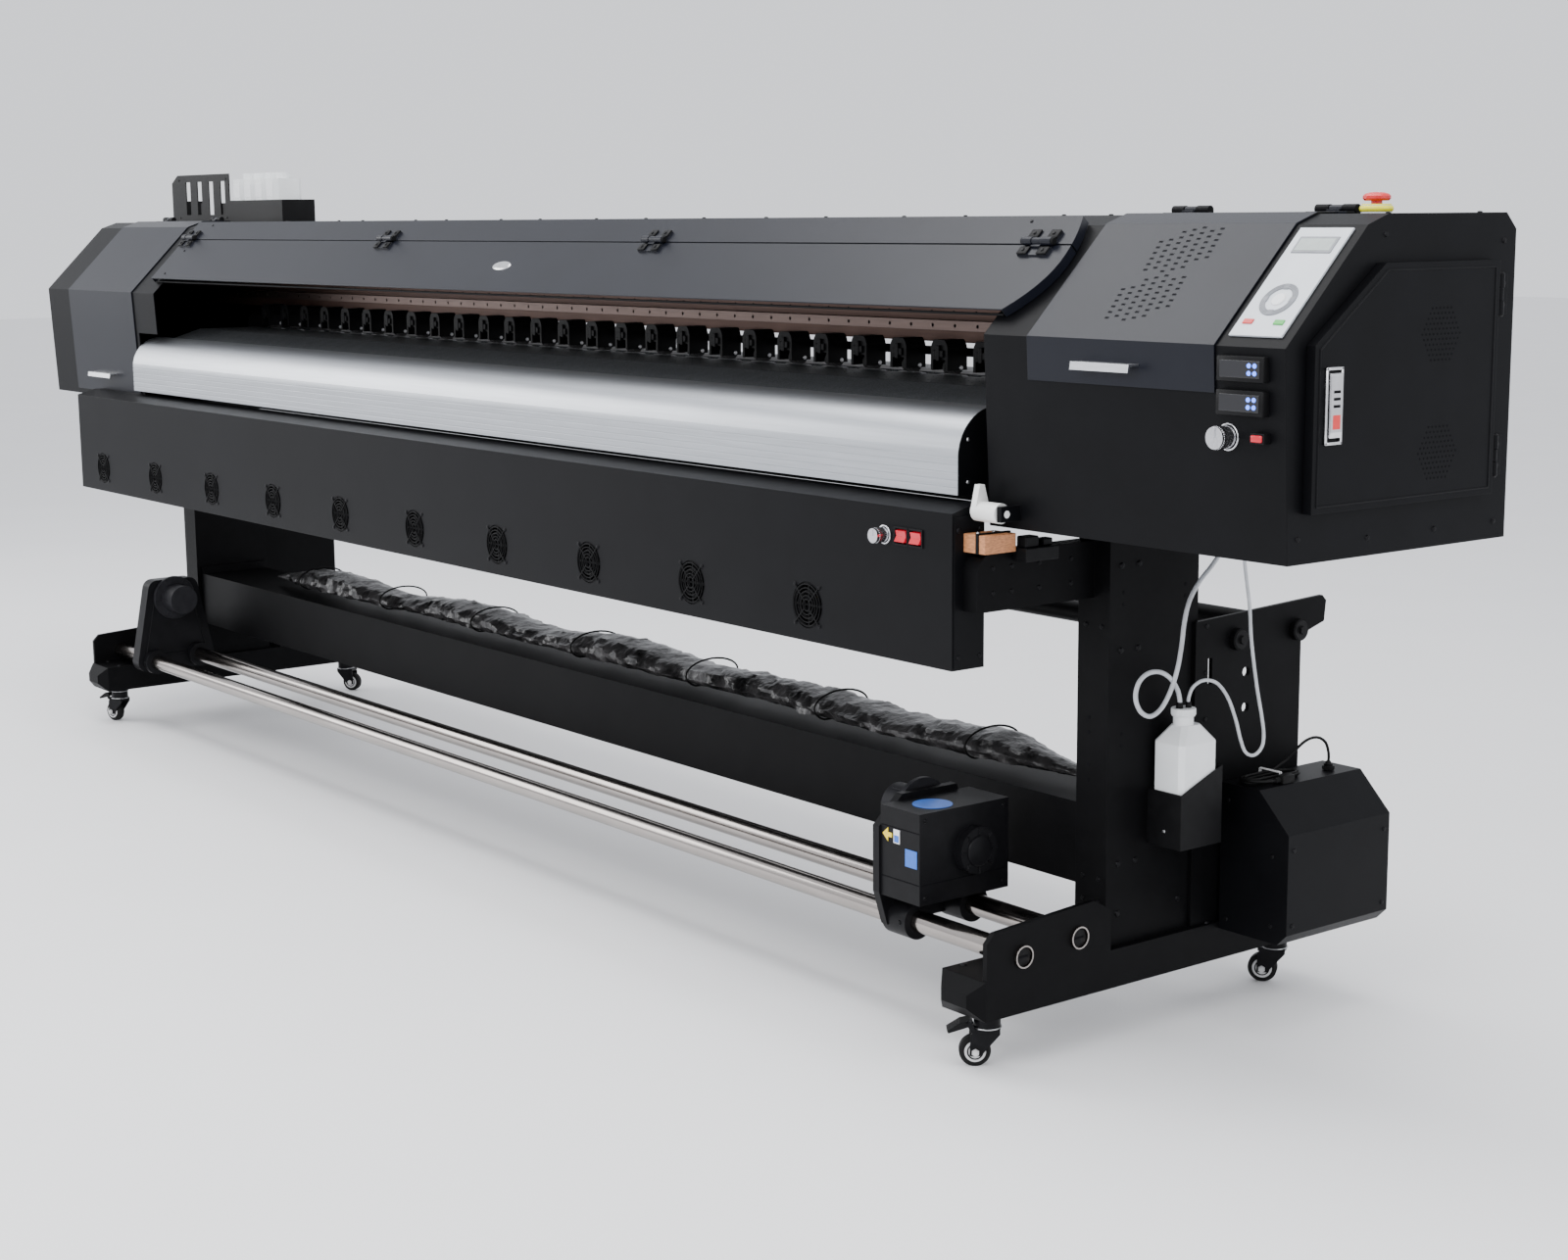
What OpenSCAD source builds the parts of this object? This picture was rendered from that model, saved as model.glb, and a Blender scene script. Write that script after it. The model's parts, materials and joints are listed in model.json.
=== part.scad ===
// Wide-format roll-to-roll printer on a castored stand.
// X runs along the machine, the operator stands at -Y, Z is up from the floor.

/* [Overall] */
// Length of the body between its two ends
body_len = 4525; // [3750:5:5450]
// Height of the body's underside above the floor
body_z = 879; // [720:1:1060]
// Length of the cabinet at the right end
box_w = 610; // [500:1:740]
// Length of the cap at the left end
cap_w = 727; // [640:1:800]

/* [Body section] */
// Front face to centre line, at the underside
front_y = 320; // [300:1:345]
// Foremost edge to centre line
nose_y = 335; // [325:1:350]
// Height of the foremost edge above the underside
nose_h = 301; // [280:1:310]
// Length of the 45 degree slope, measured along Y
slope_run = 166; // [150:1:170]
// Height of the roof above the underside
roof_h = 482; // [476:1:500]
// Front edge of the flat roof to centre line
roof_y = 125; // [118:1:140]
// Rear face to centre line
rear_y = 168; // [160:1:180]
// Chamfer between the roof and the rear face
rear_chamfer = 24; // [10:1:30]
// Sheet metal thickness of the covers
sheet = 3; // [2:0.5:4]
// Gap between a lid and the cover it closes on
lid_gap = 0.6; // [0.4:0.1:1.5]
// How far the long lid stands proud of the end cabinets
lid_proud = 18; // [12:1:24]

/* [Paper path] */
// Height of the printing platen above the underside
platen_h = 206; // [200:1:212]
// Radius of the front guide's rounded shoulder
shoulder_r = 78; // [60:1:90]
// Front face of the front guide to centre line
guide_y = 352; // [345:1:360]
// Radius of the grit sleeves on the feed shaft
grit_r = 15; // [12:0.5:16]
// Radius of a pinch wheel
pinch_r = 12; // [10:0.5:13]
// Distance between pinch wheels
pinch_pitch = 112; // [100:1:140]
// Width of a pinch arm
pinch_w = 45; // [36:1:60]
// Feed shaft to centre line, towards the front
feed_y = 30; // [26:1:34]
// Radius of the feed shaft's journals
journal_r = 10; // [8:0.5:11]

/* [Running clearances] */
// Radial clearance of a shaft in its bearing
run_gap = 0.06; // [0.03:0.01:0.1]
// Clearance between pieces that pass each other
pass_gap = 1; // [0.6:0.1:2]

/* [Stand] */
// Centre of the right leg, in from the body's right end
leg_in_r = 580; // [480:1:650]
// Centre of the left leg, in from the body's left end
leg_in_l = 386; // [300:1:500]
// Width of a column
column_w = 72; // [58:1:90]
// Depth of a column
column_d = 208; // [160:1:220]
// Column centre to centre line, towards the front
column_y = 13; // [0:1:20]
// Width of a foot
foot_w = 105; // [90:1:130]
// Half the length of a foot
foot_y = 420; // [400:1:500]
// Height of a foot's top
foot_top = 161; // [155:1:175]
// Height of a foot's underside
foot_z = 95; // [93:1:100]
// Wall of the legs and the cross beam
leg_wall = 4; // [3:0.5:6]
// Outside radius of the two take-up tubes
tube_r = 19; // [15:0.5:25]

/* [Casters] */
// Radius of a caster wheel
wheel_r = 26; // [22:1:28]
// Width of a caster wheel
wheel_w = 22; // [18:1:26]
// Caster centre to centre line
caster_y = 347; // [320:1:370]
// Distance from swivel axis to wheel axle
trail = 20; // [14:1:24]

/* [Front duct] */
// Front face of the drying duct to centre line
duct_y = 394; // [385:1:420]
// How far the duct's lower edge hangs below the body's underside
duct_drop = 228; // [200:1:260]
// Depth of the duct
duct_d = 68; // [60:1:68]
// Radius of a fan opening
fan_r = 40; // [30:1:48]
// Distance between fans
fan_pitch = 340; // [280:1:400]

/* [Take-up] */
// Height of the take-up spindle axis
spool_z = 360; // [350:1:370]
// Take-up spindle axis to centre line
spool_y = 257; // [250:1:262]
// Radius of the spindle that fits a 76 mm core
core_r = 37.5; // [30:0.5:38]
// Length of that spindle
core_len = 60; // [40:1:80]

/* [Hidden] */
$fn = 48;

x_r = body_len / 2;
x_l = -body_len / 2;
box_x = x_r - box_w;
cap_x = x_l + cap_w;
leg_xr = x_r - leg_in_r;
leg_xl = x_l + leg_in_l;
column_front = -column_y - column_d / 2;
column_rear = -column_y + column_d / 2;
beam_z = body_z + 259;
beam_top = body_z + 421;
platen_z = body_z + platen_h;
roof_z = body_z + roof_h;
girder_h = 121;
girder_top = body_z + girder_h;
feed_z = platen_z - grit_r;
pinch_z = platen_z + pinch_r + 0.4;
lift_y = 8;
lift_z = body_z + 243;
beam_front = 14;
beam_back = 130;
rail_z = body_z + 281;
rail_out = 24;
n_pinch = floor((box_x - cap_x - 120) / pinch_pitch) + 1;
pinch_x0 = (box_x + cap_x) / 2 - (n_pinch - 1) * pinch_pitch / 2;
frame_t = 12;
frame_x = (box_x - cap_x) / 2 + 30;
mid_x = (box_x + cap_x) / 2;
hinge_r = 7;
hinge_pin_r = 2.5;
duct_x0 = x_l + 324;
duct_x1 = leg_xr - column_w / 2;
duct_z = body_z - duct_drop;
duct_top = body_z + 36;
lever_y = -350;
lever_z = body_z + 26;
bracket_t = 10;
tube_f = [-319, foot_top + 29];
tube_b = [-195, foot_top + 37];
drive_x = leg_xr - 262;
drive_len = 100;
idler_x = leg_xl + 150;
n_fan = floor((duct_x1 - duct_x0 - 300) / fan_pitch) + 1;
fan_x0 = duct_x0 + 155;
fan_z = duct_z + 62;

// Axis of both hoods' hinges, and the lowest edges of the left cap and the hoods
hood_y = -58;
cap_low = 16;
hood_low_l = 30;
hood_low_r = 235;
// Left and right edges of the hoods
hood_l = [x_l + 157, x_l + 590];
hood_r = [box_x + 100, x_r - 128];
// Long lid: distances up the slope of its edges, its left edge and its hinges
lid_u0 = 37;
lid_u1 = 174;
strip_u1 = 240;
lid_left = cap_x - 40;
lid_hinge_w = 66;
lid_hinge_u = 176;
// Side door outline in (y, z) above the underside, its depth, and its hinges
DOOR = [[-292, 71], [112, 71], [112, 414], [-146, 414], [-292, 304]];
door_t = 16;
door_hinge_y = 124;
DOOR_HINGES = [126, 363];
// Ink bottles along the tray: their pitch and width
ink_pitch = 68;
ink_w = 62;
// Gap that keeps two solids of one node apart
touch = 0.03;
// Stop button and its shank, in (x, y)
stop = [x_r - 75, -60];
stop_r = 8;
// Knob and rockers at the right end of the duct
duct_knob_at = [duct_x1 - 165, duct_top - 61];
duct_knob_r = 5;
ROCKERS = [duct_x1 - 123, duct_x1 - 87];
rocker_z = duct_top - 60;
// Radii of the lift shaft, the lever's pivot, the take-up spindles and the caster pins
lift_r = 8;
lever_r = 6;
spindle_r = 12;
caster_pin_r = 8;
axle_r = 4;
wheel_pin_r = 3;
// Axis of the foot brakes' treads, from a caster's swivel axis and the floor
tread_x = 29;
tread_z = wheel_r + 48;
// Position and heading of each caster: [x, y, heading]
CASTERS = [[leg_xl, -caster_y, 200], [leg_xr, -caster_y, 232], [leg_xl, caster_y, 35],
  [leg_xr, caster_y, 215]];
// Thickness of the supply roll's plates, and their tubes in (y, z)
feed_plate_t = 8;
REAR_TUBES = [[178, body_z - 229], [330, body_z - 229]];
// Service box behind the right leg: its extent along X, Y and Z, and its chamfer
aux = [leg_xr + foot_w / 2, leg_xr + foot_w / 2 + 150];
aux_y = [141, 401];
aux_z = [foot_top - 11, foot_top + 247];
aux_c = 66;
// Waste bottle's holder along X
holder = [leg_xr + column_w / 2, leg_xr + column_w / 2 + 76];
// Routes of the two hoses and the tied lead
hose_a = [[1765, 112, 871], [1765, 112, 850], [1764, 102, 820], [1763, 77, 792], [1762, 46, 765],
  [1761, 24, 735], [1760, 14, 700], [1760, 9, 665], [1760, 0, 625], [1759, -15, 588],
  [1758, -36, 561], [1757, -60, 552], [1756, -82, 564], [1755, -92, 588], [1755, -84, 612],
  [1755, -62, 624], [1755, -34, 622], [1755, -10, 608], [1755, 6, 588], [1755, 12, 570],
  [1755, 12, 556]];
hose_b = [[1800, 108, 871], [1800, 108, 850], [1800, 110, 810], [1800, 118, 765], [1800, 127, 720],
  [1800, 132, 670], [1801, 140, 620], [1802, 149, 575], [1803, 160, 530], [1803, 166, 498],
  [1801, 164, 476], [1797, 150, 464], [1793, 134, 470], [1790, 124, 492], [1786, 114, 530],
  [1782, 98, 568], [1777, 76, 594], [1770, 52, 600], [1763, 35, 590], [1760, 28, 572],
  [1760, 28, 556]];
lead = [[1790, 350, 420], [1790, 350, 438], [1788, 343, 458], [1783, 326, 468], [1777, 305, 464],
  [1770, 285, 448], [1765, 270, 433], [1763.5, 256, 426.7]];
lead_r = 2.5;
// Tied hank of the lead: centre, width and length between its round ends, in (x, y), and thickness
hank = [1777, 215];
hank_size = [42, 90, 16];

// Housing outline in (y, z) above the underside, with its lowest face at low
function section(low) = [[front_at(low), low], [rear_y, low], [rear_y, roof_h - rear_chamfer],
  [rear_y - rear_chamfer, roof_h], [-roof_y, roof_h],
  [-nose_y + slope_run, nose_h + slope_run], [-nose_y, nose_h]];

// Moves every edge of a convex anticlockwise outline inwards by t
function inset(p, t) = let(n = len(p)) [for (i = [0:n - 1])
  let(u = unit(p[i] - p[(i + n - 1) % n]), v = unit(p[(i + 1) % n] - p[i]),
      a = [-u.y, u.x], b = [-v.y, v.x]) p[i] + t * (a + b) / (1 + a * b)];
function unit(v) = v / norm(v);

// Extrudes a (y, z) outline from x0 to x1
module span_x(x0, x1) {
  translate([x0, 0, 0]) rotate([90, 0, 90]) linear_extrude(x1 - x0) children();
}
// Extrudes an (x, z) outline from y0 to y1
module span_y(y0, y1) {
  translate([0, y1, 0]) rotate([90, 0, 0]) linear_extrude(y1 - y0) children();
}
module block(lo, hi) {
  translate(lo) cube(hi - lo);
}
module rod_x(x0, x1, y, z, r) {
  translate([x0, y, z]) rotate([0, 90, 0]) cylinder(h = x1 - x0, r = r);
}
module rod_y(y0, y1, x, z, r) {
  translate([x, y0, z]) rotate([-90, 0, 0]) cylinder(h = y1 - y0, r = r);
}
module rod_z(z0, z1, x, y, r) {
  translate([x, y, z0]) cylinder(h = z1 - z0, r = r);
}
// Box with its four edges along Z cut at 45 degrees
module bevel_block(lo, hi, c) {
  translate([0, 0, lo.z]) linear_extrude(hi.z - lo.z) polygon([[lo.x + c, lo.y], [hi.x - c, lo.y],
    [hi.x, lo.y + c], [hi.x, hi.y - c], [hi.x - c, hi.y], [lo.x + c, hi.y], [lo.x, hi.y - c],
    [lo.x, lo.y + c]]);
}
// Fixed half of a hinge: two knuckles, the pin and a leaf on the +Y side. The axis lies along X,
// hinge_r above the surface at z = 0.
module hinge_base(x, w, y, leaf) {
  for (s = [-1, 1]) translate([x + s * w / 3, y, 0]) {
    rod_x(-w / 6, w / 6, 0, hinge_r, hinge_r);
    block([-w / 6, 0, 0], [w / 6, hinge_r, hinge_r]);
  }
  rod_x(x - w / 2, x + w / 2, y, hinge_r, hinge_pin_r);
  block([x - w / 2, y + hinge_r - 1, 0], [x + w / 2, y + leaf, 3]);
}
// Moving half: the middle knuckle and a leaf on the -Y side, lifted clear of the surface
module hinge_knuckle(x, w, y, leaf, lift) {
  half = w / 6 - pass_gap;
  difference() {
    union() {
      rod_x(x - half, x + half, y, hinge_r, hinge_r - 1);
      block([x - half, y - hinge_r - 4, lift], [x + half, y, hinge_r]);
      block([x - w / 2, y - leaf, lift], [x + w / 2, y - hinge_r - 1, lift + 3]);
    }
    rod_x(x - w / 2, x + w / 2, y, hinge_r, hinge_pin_r + run_gap);
  }
}
// Outline of an open line of points made t thick towards its right-hand side
function ribbon(p, t) = let(n = len(p), d = [for (i = [0:n - 2]) unit(p[i + 1] - p[i])],
  m = [for (i = [0:n - 1]) let(u = d[max(i - 1, 0)], v = d[min(i, n - 2)],
    a = [u.y, -u.x], b = [v.y, -v.x]) p[i] + t * (a + b) / (1 + a * b)])
  concat(p, [for (i = [n - 1:-1:0]) m[i]]);
// A sheet cover: the housing section between x0 and x1, hollow and open at both ends
module housing(x0, x1, low) {
  translate([0, 0, body_z]) difference() {
    span_x(x0, x1) polygon(section(low));
    span_x(x0 - 1, x1 + 1) polygon(inset(section(low), sheet));
  }
}
// A wall that closes the housing, sheet thick, from x0
module end_wall(x0, low) {
  translate([0, 0, body_z]) span_x(x0, x0 + sheet) polygon(inset(section(low), sheet / 2));
}
// Lid skin that follows the section from the roof to a lower edge, between x0 and x1
module hood_skin(x0, x1, low) {
  intersection() {
    translate([0, 0, body_z]) difference() {
      span_x(x0, x1) polygon(inset(section(0), -lid_gap - 2.5));
      span_x(x0 - 1, x1 + 1) polygon(inset(section(0), -lid_gap));
    }
    block([x0, -nose_y - 20, body_z + low], [x1, hood_y - hinge_r - 3, roof_z + 20]);
  }
}
// Frame of the slope: X along the body, Y up the slope from the nose edge, Z out of it
module on_slope() {
  translate([0, -nose_y, body_z + nose_h]) rotate([45, 0, 0]) children();
}
// Front face of the section at height h above the underside
function front_at(h) = -front_y - (nose_y - front_y) * h / nose_h;

// ---- stand ----
module foot(cx) {
  difference() {
    intersection() {
      bevel_block([cx - foot_w / 2, -foot_y, foot_z], [cx + foot_w / 2, foot_y, foot_top], 22);
      span_x(cx - foot_w / 2, cx + foot_w / 2) polygon([[-foot_y + 22, foot_z], [foot_y - 22, foot_z],
        [foot_y, foot_z + 22], [foot_y, foot_top - 22], [foot_y - 22, foot_top],
        [-foot_y + 22, foot_top], [-foot_y, foot_top - 22], [-foot_y, foot_z + 22]]);
    }
    block([cx - foot_w / 2 + leg_wall, -caster_y + 50, foot_z - 1],
      [cx + foot_w / 2 - leg_wall, caster_y - 50, foot_top - leg_wall]);
  }
  for (s = [-1, 1]) rod_z(foot_z - 7, foot_z, cx, s * caster_y, caster_pin_r - run_gap);
}
module column(cx) {
  difference() {
    block([cx - column_w / 2, column_front, foot_top], [cx + column_w / 2, column_rear, body_z]);
    block([cx - column_w / 2 + leg_wall, column_front + leg_wall, foot_top + leg_wall],
      [cx + column_w / 2 - leg_wall, column_rear - leg_wall, body_z + 1]);
  }
}
// Arm that carries the duct, with a rounded top front corner
module arm(cx, front) {
  arm_z = body_z - 133;
  arm_top = body_z - 39;
  difference() {
    span_x(cx - column_w / 2, cx) union() {
      polygon([[column_front, arm_z], [column_front, arm_top], [front + 32, arm_top],
        [front, arm_top - 32], [front, arm_z]]);
      intersection() {
        translate([front + 32, arm_top - 32]) circle(r = 32);
        translate([front, arm_top - 32]) square([32, 32]);
      }
    }
    block([cx - column_w / 2 + leg_wall, front + 12, arm_z - 1],
      [cx - leg_wall, column_front - 12, arm_top - leg_wall]);
  }
}
// Upright plate that carries the ends of the two take-up tubes
module tube_bracket(x0) {
  difference() {
    span_x(x0, x0 + bracket_t) polygon([[-396, foot_top - 2], [-120, foot_top - 2],
      [-120, foot_top + 70], [-160, foot_top + 92], [-380, foot_top + 78], [-396, foot_top + 62]]);
    for (t = [tube_f, tube_b]) rod_x(x0 - 1, x0 + bracket_t + 1, t.x, t.y, tube_r + run_gap);
  }
}
module leg_right() {
  color([0.09, 0.09, 0.1]) {
    foot(leg_xr);
    column(leg_xr);
    arm(leg_xr, -372);
    tube_bracket(leg_xr + foot_w / 2 - bracket_t);
  }
}
module leg_left() {
  color([0.09, 0.09, 0.1]) {
    foot(leg_xl);
    column(leg_xl);
    translate([column_w / 2, 0, 0]) arm(leg_xl, -duct_y + duct_d);
    tube_bracket(leg_xl - foot_w / 2);
  }
}
module cross_beam() {
  x0 = leg_xl + column_w / 2;
  x1 = leg_xr - column_w / 2;
  y0 = -105;
  y1 = 85;
  z0 = foot_top + 93;
  z1 = foot_top + 232;
  color([0.1, 0.1, 0.11]) difference() {
    union() {
      block([x0, y0, z0], [x1, y1, z1]);
      for (x = [x0, x1 - 10]) block([x, y0, z0 - 20], [x + 10, y1, z1 + 20]);
    }
    block([x0 + 10, y0 + leg_wall, z0 + leg_wall], [x1 - 10, y1 - leg_wall, z1 - leg_wall]);
    for (x = [x0 - 1, x1 - 11]) block([x, y0 + 40, z0 + 30], [x + 12, y1 - 40, z1 - 30]);
  }
}
module takeup_tubes() {
  x0 = leg_xl - foot_w / 2 - 6;
  x1 = leg_xr + foot_w / 2 + 6;
  color([0.6, 0.57, 0.55]) for (t = [tube_f, tube_b]) difference() {
    rod_x(x0, x1, t.x, t.y, tube_r);
    rod_x(x0 - 1, x0 + 60, t.x, t.y, tube_r - 2.5);
    rod_x(x1 - 60, x1 + 1, t.x, t.y, tube_r - 2.5);
  }
}

// ---- casters ----
module at_caster(i) {
  translate([CASTERS[i].x, CASTERS[i].y, 0]) rotate([0, 0, CASTERS[i].z]) children();
}
module caster_fork(i) {
  cheek = wheel_w / 2 + 1.5;
  color([0.07, 0.07, 0.08]) at_caster(i) {
    difference() {
      rod_z(wheel_r + 36, foot_z - 0.3, 0, 0, 22);
      rod_z(foot_z - 8, foot_z + 1, 0, 0, caster_pin_r);
    }
    for (s = [-1, 1]) span_y(s * (cheek + 2) - 2, s * (cheek + 2) + 2) polygon([[-20, wheel_r + 40],
      [-20, wheel_r + 30], [trail - 9, wheel_r - 6], [trail + 9, wheel_r - 6],
      [trail + 8, wheel_r + 30], [16, wheel_r + 40]]);
    block([-20, -cheek - 4, wheel_r + 33], [trail + 8, cheek + 4, wheel_r + 40]);
    rod_y(-cheek - 5, cheek + 5, trail, wheel_r, axle_r);
    if (i < 2) {
      for (s = [-1, 1]) span_y(s * 17.5 - 1.5, s * 17.5 + 1.5) polygon([[20, wheel_r + 36],
        [trail + 8, wheel_r + 36], [tread_x + 6, tread_z], [tread_x, tread_z + 6],
        [tread_x - 4, tread_z + 4]]);
      rod_y(-17.5, 17.5, tread_x, tread_z, wheel_pin_r);
    }
  }
}
module caster_wheel(i) {
  color([0.05, 0.05, 0.05]) at_caster(i)
    translate([trail, 0, wheel_r]) rotate([90, 0, 0]) rotate_extrude($fn = 72) polygon(
      [[axle_r + run_gap, -wheel_w / 2], [wheel_r - 4, -wheel_w / 2], [wheel_r, -wheel_w / 2 + 4],
       [wheel_r, wheel_w / 2 - 4], [wheel_r - 4, wheel_w / 2], [axle_r + run_gap, wheel_w / 2]]);
}
// Foot brake: a rocking tread over the wheel, on a pin between two ears of the fork
module brake_pedal(i) {
  color([0.06, 0.06, 0.07]) at_caster(i) difference() {
    span_y(-15, 15) union() {
      translate([tread_x, tread_z]) circle(r = 5);
      polygon([[tread_x, tread_z - 5], [64, tread_z - 16], [66, tread_z - 12], [44, tread_z + 2],
        [tread_x, tread_z + 5]]);
    }
    rod_y(-16, 16, tread_x, tread_z, wheel_pin_r + run_gap);
  }
}

// ---- girder, side frames, paper path ----
module base_girder() {
  x0 = x_l + 112;
  x1 = x_r - 112;
  color([0.15, 0.15, 0.16]) difference() {
    block([x0, column_front, body_z], [x1, column_rear, girder_top]);
    block([x0 - 1, column_front + 5, body_z + 5], [x1 + 1, column_rear - 5, girder_top - 5]);
  }
}
// Two upright plates that hold the shafts and the main beam
module side_frames() {
  color([0.2, 0.2, 0.21]) for (s = [-1, 1]) difference() {
    span_x(mid_x + s * frame_x - frame_t / 2, mid_x + s * frame_x + frame_t / 2) polygon(
      [[-60, girder_top], [88, girder_top], [beam_back, beam_z - 40], [beam_back, beam_z],
       [-20, beam_z], [-60, lift_z - 12]]);
    rod_x(mid_x + s * frame_x - frame_t, mid_x + s * frame_x + frame_t, -feed_y, feed_z,
      journal_r + run_gap);
    rod_x(mid_x + s * frame_x - frame_t, mid_x + s * frame_x + frame_t, lift_y, lift_z, lift_r + run_gap);
  }
}
// Rounded aluminium guide that the sheet slides down
module front_guide() {
  t = 4;
  low = platen_z - 160;
  top = platen_z - 22;
  color([0.82, 0.83, 0.85]) difference() {
    span_x(cap_x - 116, box_x - 41) difference() {
      union() {
        polygon([[-guide_y, low], [-guide_y + t + 10, low], [-guide_y + t + 10, top - shoulder_r],
          [-guide_y + shoulder_r, top - t - 10], [-guide_y + shoulder_r, top],
          [-guide_y, top - shoulder_r]]);
        intersection() {
          translate([-guide_y + shoulder_r, top - shoulder_r]) circle(r = shoulder_r, $fn = 96);
          translate([-guide_y, top - shoulder_r]) square(shoulder_r);
        }
      }
      translate([-guide_y + shoulder_r, top - shoulder_r]) circle(r = shoulder_r - t, $fn = 96);
      translate([-guide_y + t, low - 1]) square([20, top - shoulder_r - low + 1]);
    }
    for (k = [0:5]) block([cap_x - 117, -guide_y - 1, low + 10 + 12 * k],
      [box_x - 40, -guide_y + 0.8, low + 12 + 12 * k]);
  }
}
module platens() {
  x0 = mid_x - frame_x + frame_t / 2 + 1;
  x1 = mid_x + frame_x - frame_t / 2 - 1;
  front = [[-guide_y + shoulder_r, platen_z - 50], [-190, platen_z - 50],
    [column_front, girder_top], [-52, girder_top], [-52, platen_z], [-200, platen_z],
    [-guide_y + shoulder_r, platen_z - 22]];
  rear = [[-8, girder_top], [86, girder_top], [132, platen_z - 50], [150, platen_z - 30],
    [150, platen_z - 12], [138, platen_z], [-8, platen_z]];
  color([0.2, 0.21, 0.22]) for (p = [front, rear]) difference() {
    span_x(x0, x1) polygon(p);
    span_x(x0 + 5, x1 - 5) polygon(inset(p, 4));
    for (x = [x0 - 1, x1 - 6]) span_x(x, x + 7) polygon(inset(p, 12));
  }
}
module feed_shaft() {
  x1 = mid_x + frame_x + 60;
  color([0.55, 0.56, 0.58]) {
    rod_x(mid_x - frame_x - 14, x1, -feed_y, feed_z, journal_r);
    for (i = [0:n_pinch - 1]) rod_x(pinch_x0 + i * pinch_pitch - 32, pinch_x0 + i * pinch_pitch + 32,
      -feed_y, feed_z, grit_r - 0.2);
    difference() {
      rod_x(x1 - 22, x1, -feed_y, feed_z, 30);
      rod_x(x1 - 23, x1 + 1, -feed_y, feed_z, journal_r + touch);
    }
  }
}
// Spring-loaded arms on one lift shaft, each holding a pinch wheel in its fork
module pinch_arms() {
  color([0.06, 0.06, 0.07]) {
    rod_x(mid_x - frame_x - 14, mid_x + frame_x + 14, lift_y, lift_z, lift_r);
    for (i = [0:n_pinch - 1]) translate([pinch_x0 + i * pinch_pitch, 0, 0]) difference() {
      union() {
        span_y(-62, -16) union() {
          translate([-pinch_w / 2, platen_z + 8]) square([pinch_w, 40]);
          translate([0, platen_z + 44]) circle(r = pinch_w / 2);
        }
        block([-9, -18, lift_z - 5], [9, lift_y, lift_z + 5]);
      }
      block([-16, -63, platen_z - 1], [16, -12, platen_z + 27]);
      block([-pinch_w, -70, platen_z + 62], [pinch_w, 0, platen_z + 90]);
    }
    for (i = [0:n_pinch - 1]) rod_x(pinch_x0 + i * pinch_pitch - 18, pinch_x0 + i * pinch_pitch + 18,
      -feed_y, pinch_z, wheel_pin_r);
  }
}
module pinch_wheels() {
  color([0.12, 0.12, 0.12]) for (i = [0:n_pinch - 1]) difference() {
    rod_x(pinch_x0 + i * pinch_pitch - 14, pinch_x0 + i * pinch_pitch + 14, -feed_y, pinch_z, pinch_r);
    rod_x(pinch_x0 + i * pinch_pitch - 15, pinch_x0 + i * pinch_pitch + 15, -feed_y, pinch_z,
      wheel_pin_r + run_gap);
  }
}
// White hand lever at the right end of the front guide
module pinch_lever() {
  x0 = box_x + 4;
  color([0.93, 0.93, 0.92]) {
    span_x(x0, x0 + 12) union() {
      translate([lever_y, lever_z]) circle(r = 16);
      polygon([[lever_y - 16, lever_z], [lever_y + 16, lever_z], [lever_y + 4, lever_z + 42],
        [lever_y - 6, lever_z + 42]]);
    }
    rod_x(x0, x0 + 56, lever_y, lever_z, 16);
    rod_x(x0 + 56, x0 + 68, lever_y, lever_z, lever_r);
  }
}
module main_beam() {
  x0 = x_l + 70;
  x1 = x_r - 112;
  color([0.36, 0.29, 0.27]) difference() {
    block([x0, beam_front, beam_z], [x1, beam_back, beam_top]);
    block([x0 - 1, beam_front + 6, beam_z + 6], [x1 + 1, beam_back - 6, beam_top - 6]);
  }
}
module guide_rail() {
  pitch = 60;
  x0 = x_l + 90;
  n = floor((body_len - 230) / pitch);
  color([0.62, 0.6, 0.6]) difference() {
    block([x0, beam_front - rail_out, rail_z], [x0 + n * pitch, beam_front, rail_z + 18]);
    for (i = [0:n - 1]) rod_y(beam_front - rail_out - 1, beam_front - 4, x0 + (i + 0.5) * pitch,
      rail_z + 9, 3.2);
  }
}
module carriage() {
  x0 = box_x + 110;
  x1 = x0 + 270;
  low = platen_z + 7;
  color([0.16, 0.16, 0.17]) {
    difference() {
      span_x(x0, x1) polygon([[-226, low], [-72, low], [-72, body_z + 410], [-160, body_z + 410],
        [-226, body_z + 344]]);
      block([x0 + 3, -223, low + 60], [x1 - 3, -75, body_z + 340]);
      block([x0 - 1, -160, low + 80], [x0 + 4, -110, body_z + 320]);
    }
    block([x0 + 60, -72 + touch, rail_z + 3], [x1 - 60, beam_front - rail_out - 0.3, rail_z + 30]);
    block([x0 + 60, -40, rail_z + 18.3], [x1 - 60, beam_front - 0.3, rail_z + 30]);
    for (i = [0:3]) block([x0 + 30 + 55 * i, -206, platen_z + 3], [x0 + 62 + 55 * i, -96, low + 1]);
  }
}
module capping_station() {
  x0 = box_x + 125;
  color([0.3, 0.3, 0.31]) difference() {
    block([x0, -214, girder_top + 2], [x0 + 240, -118, platen_z + 1]);
    for (i = [0:3]) block([x0 + 15 + 55 * i, -204, platen_z - 12],
      [x0 + 47 + 55 * i, -128, platen_z + 2]);
  }
}

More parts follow.
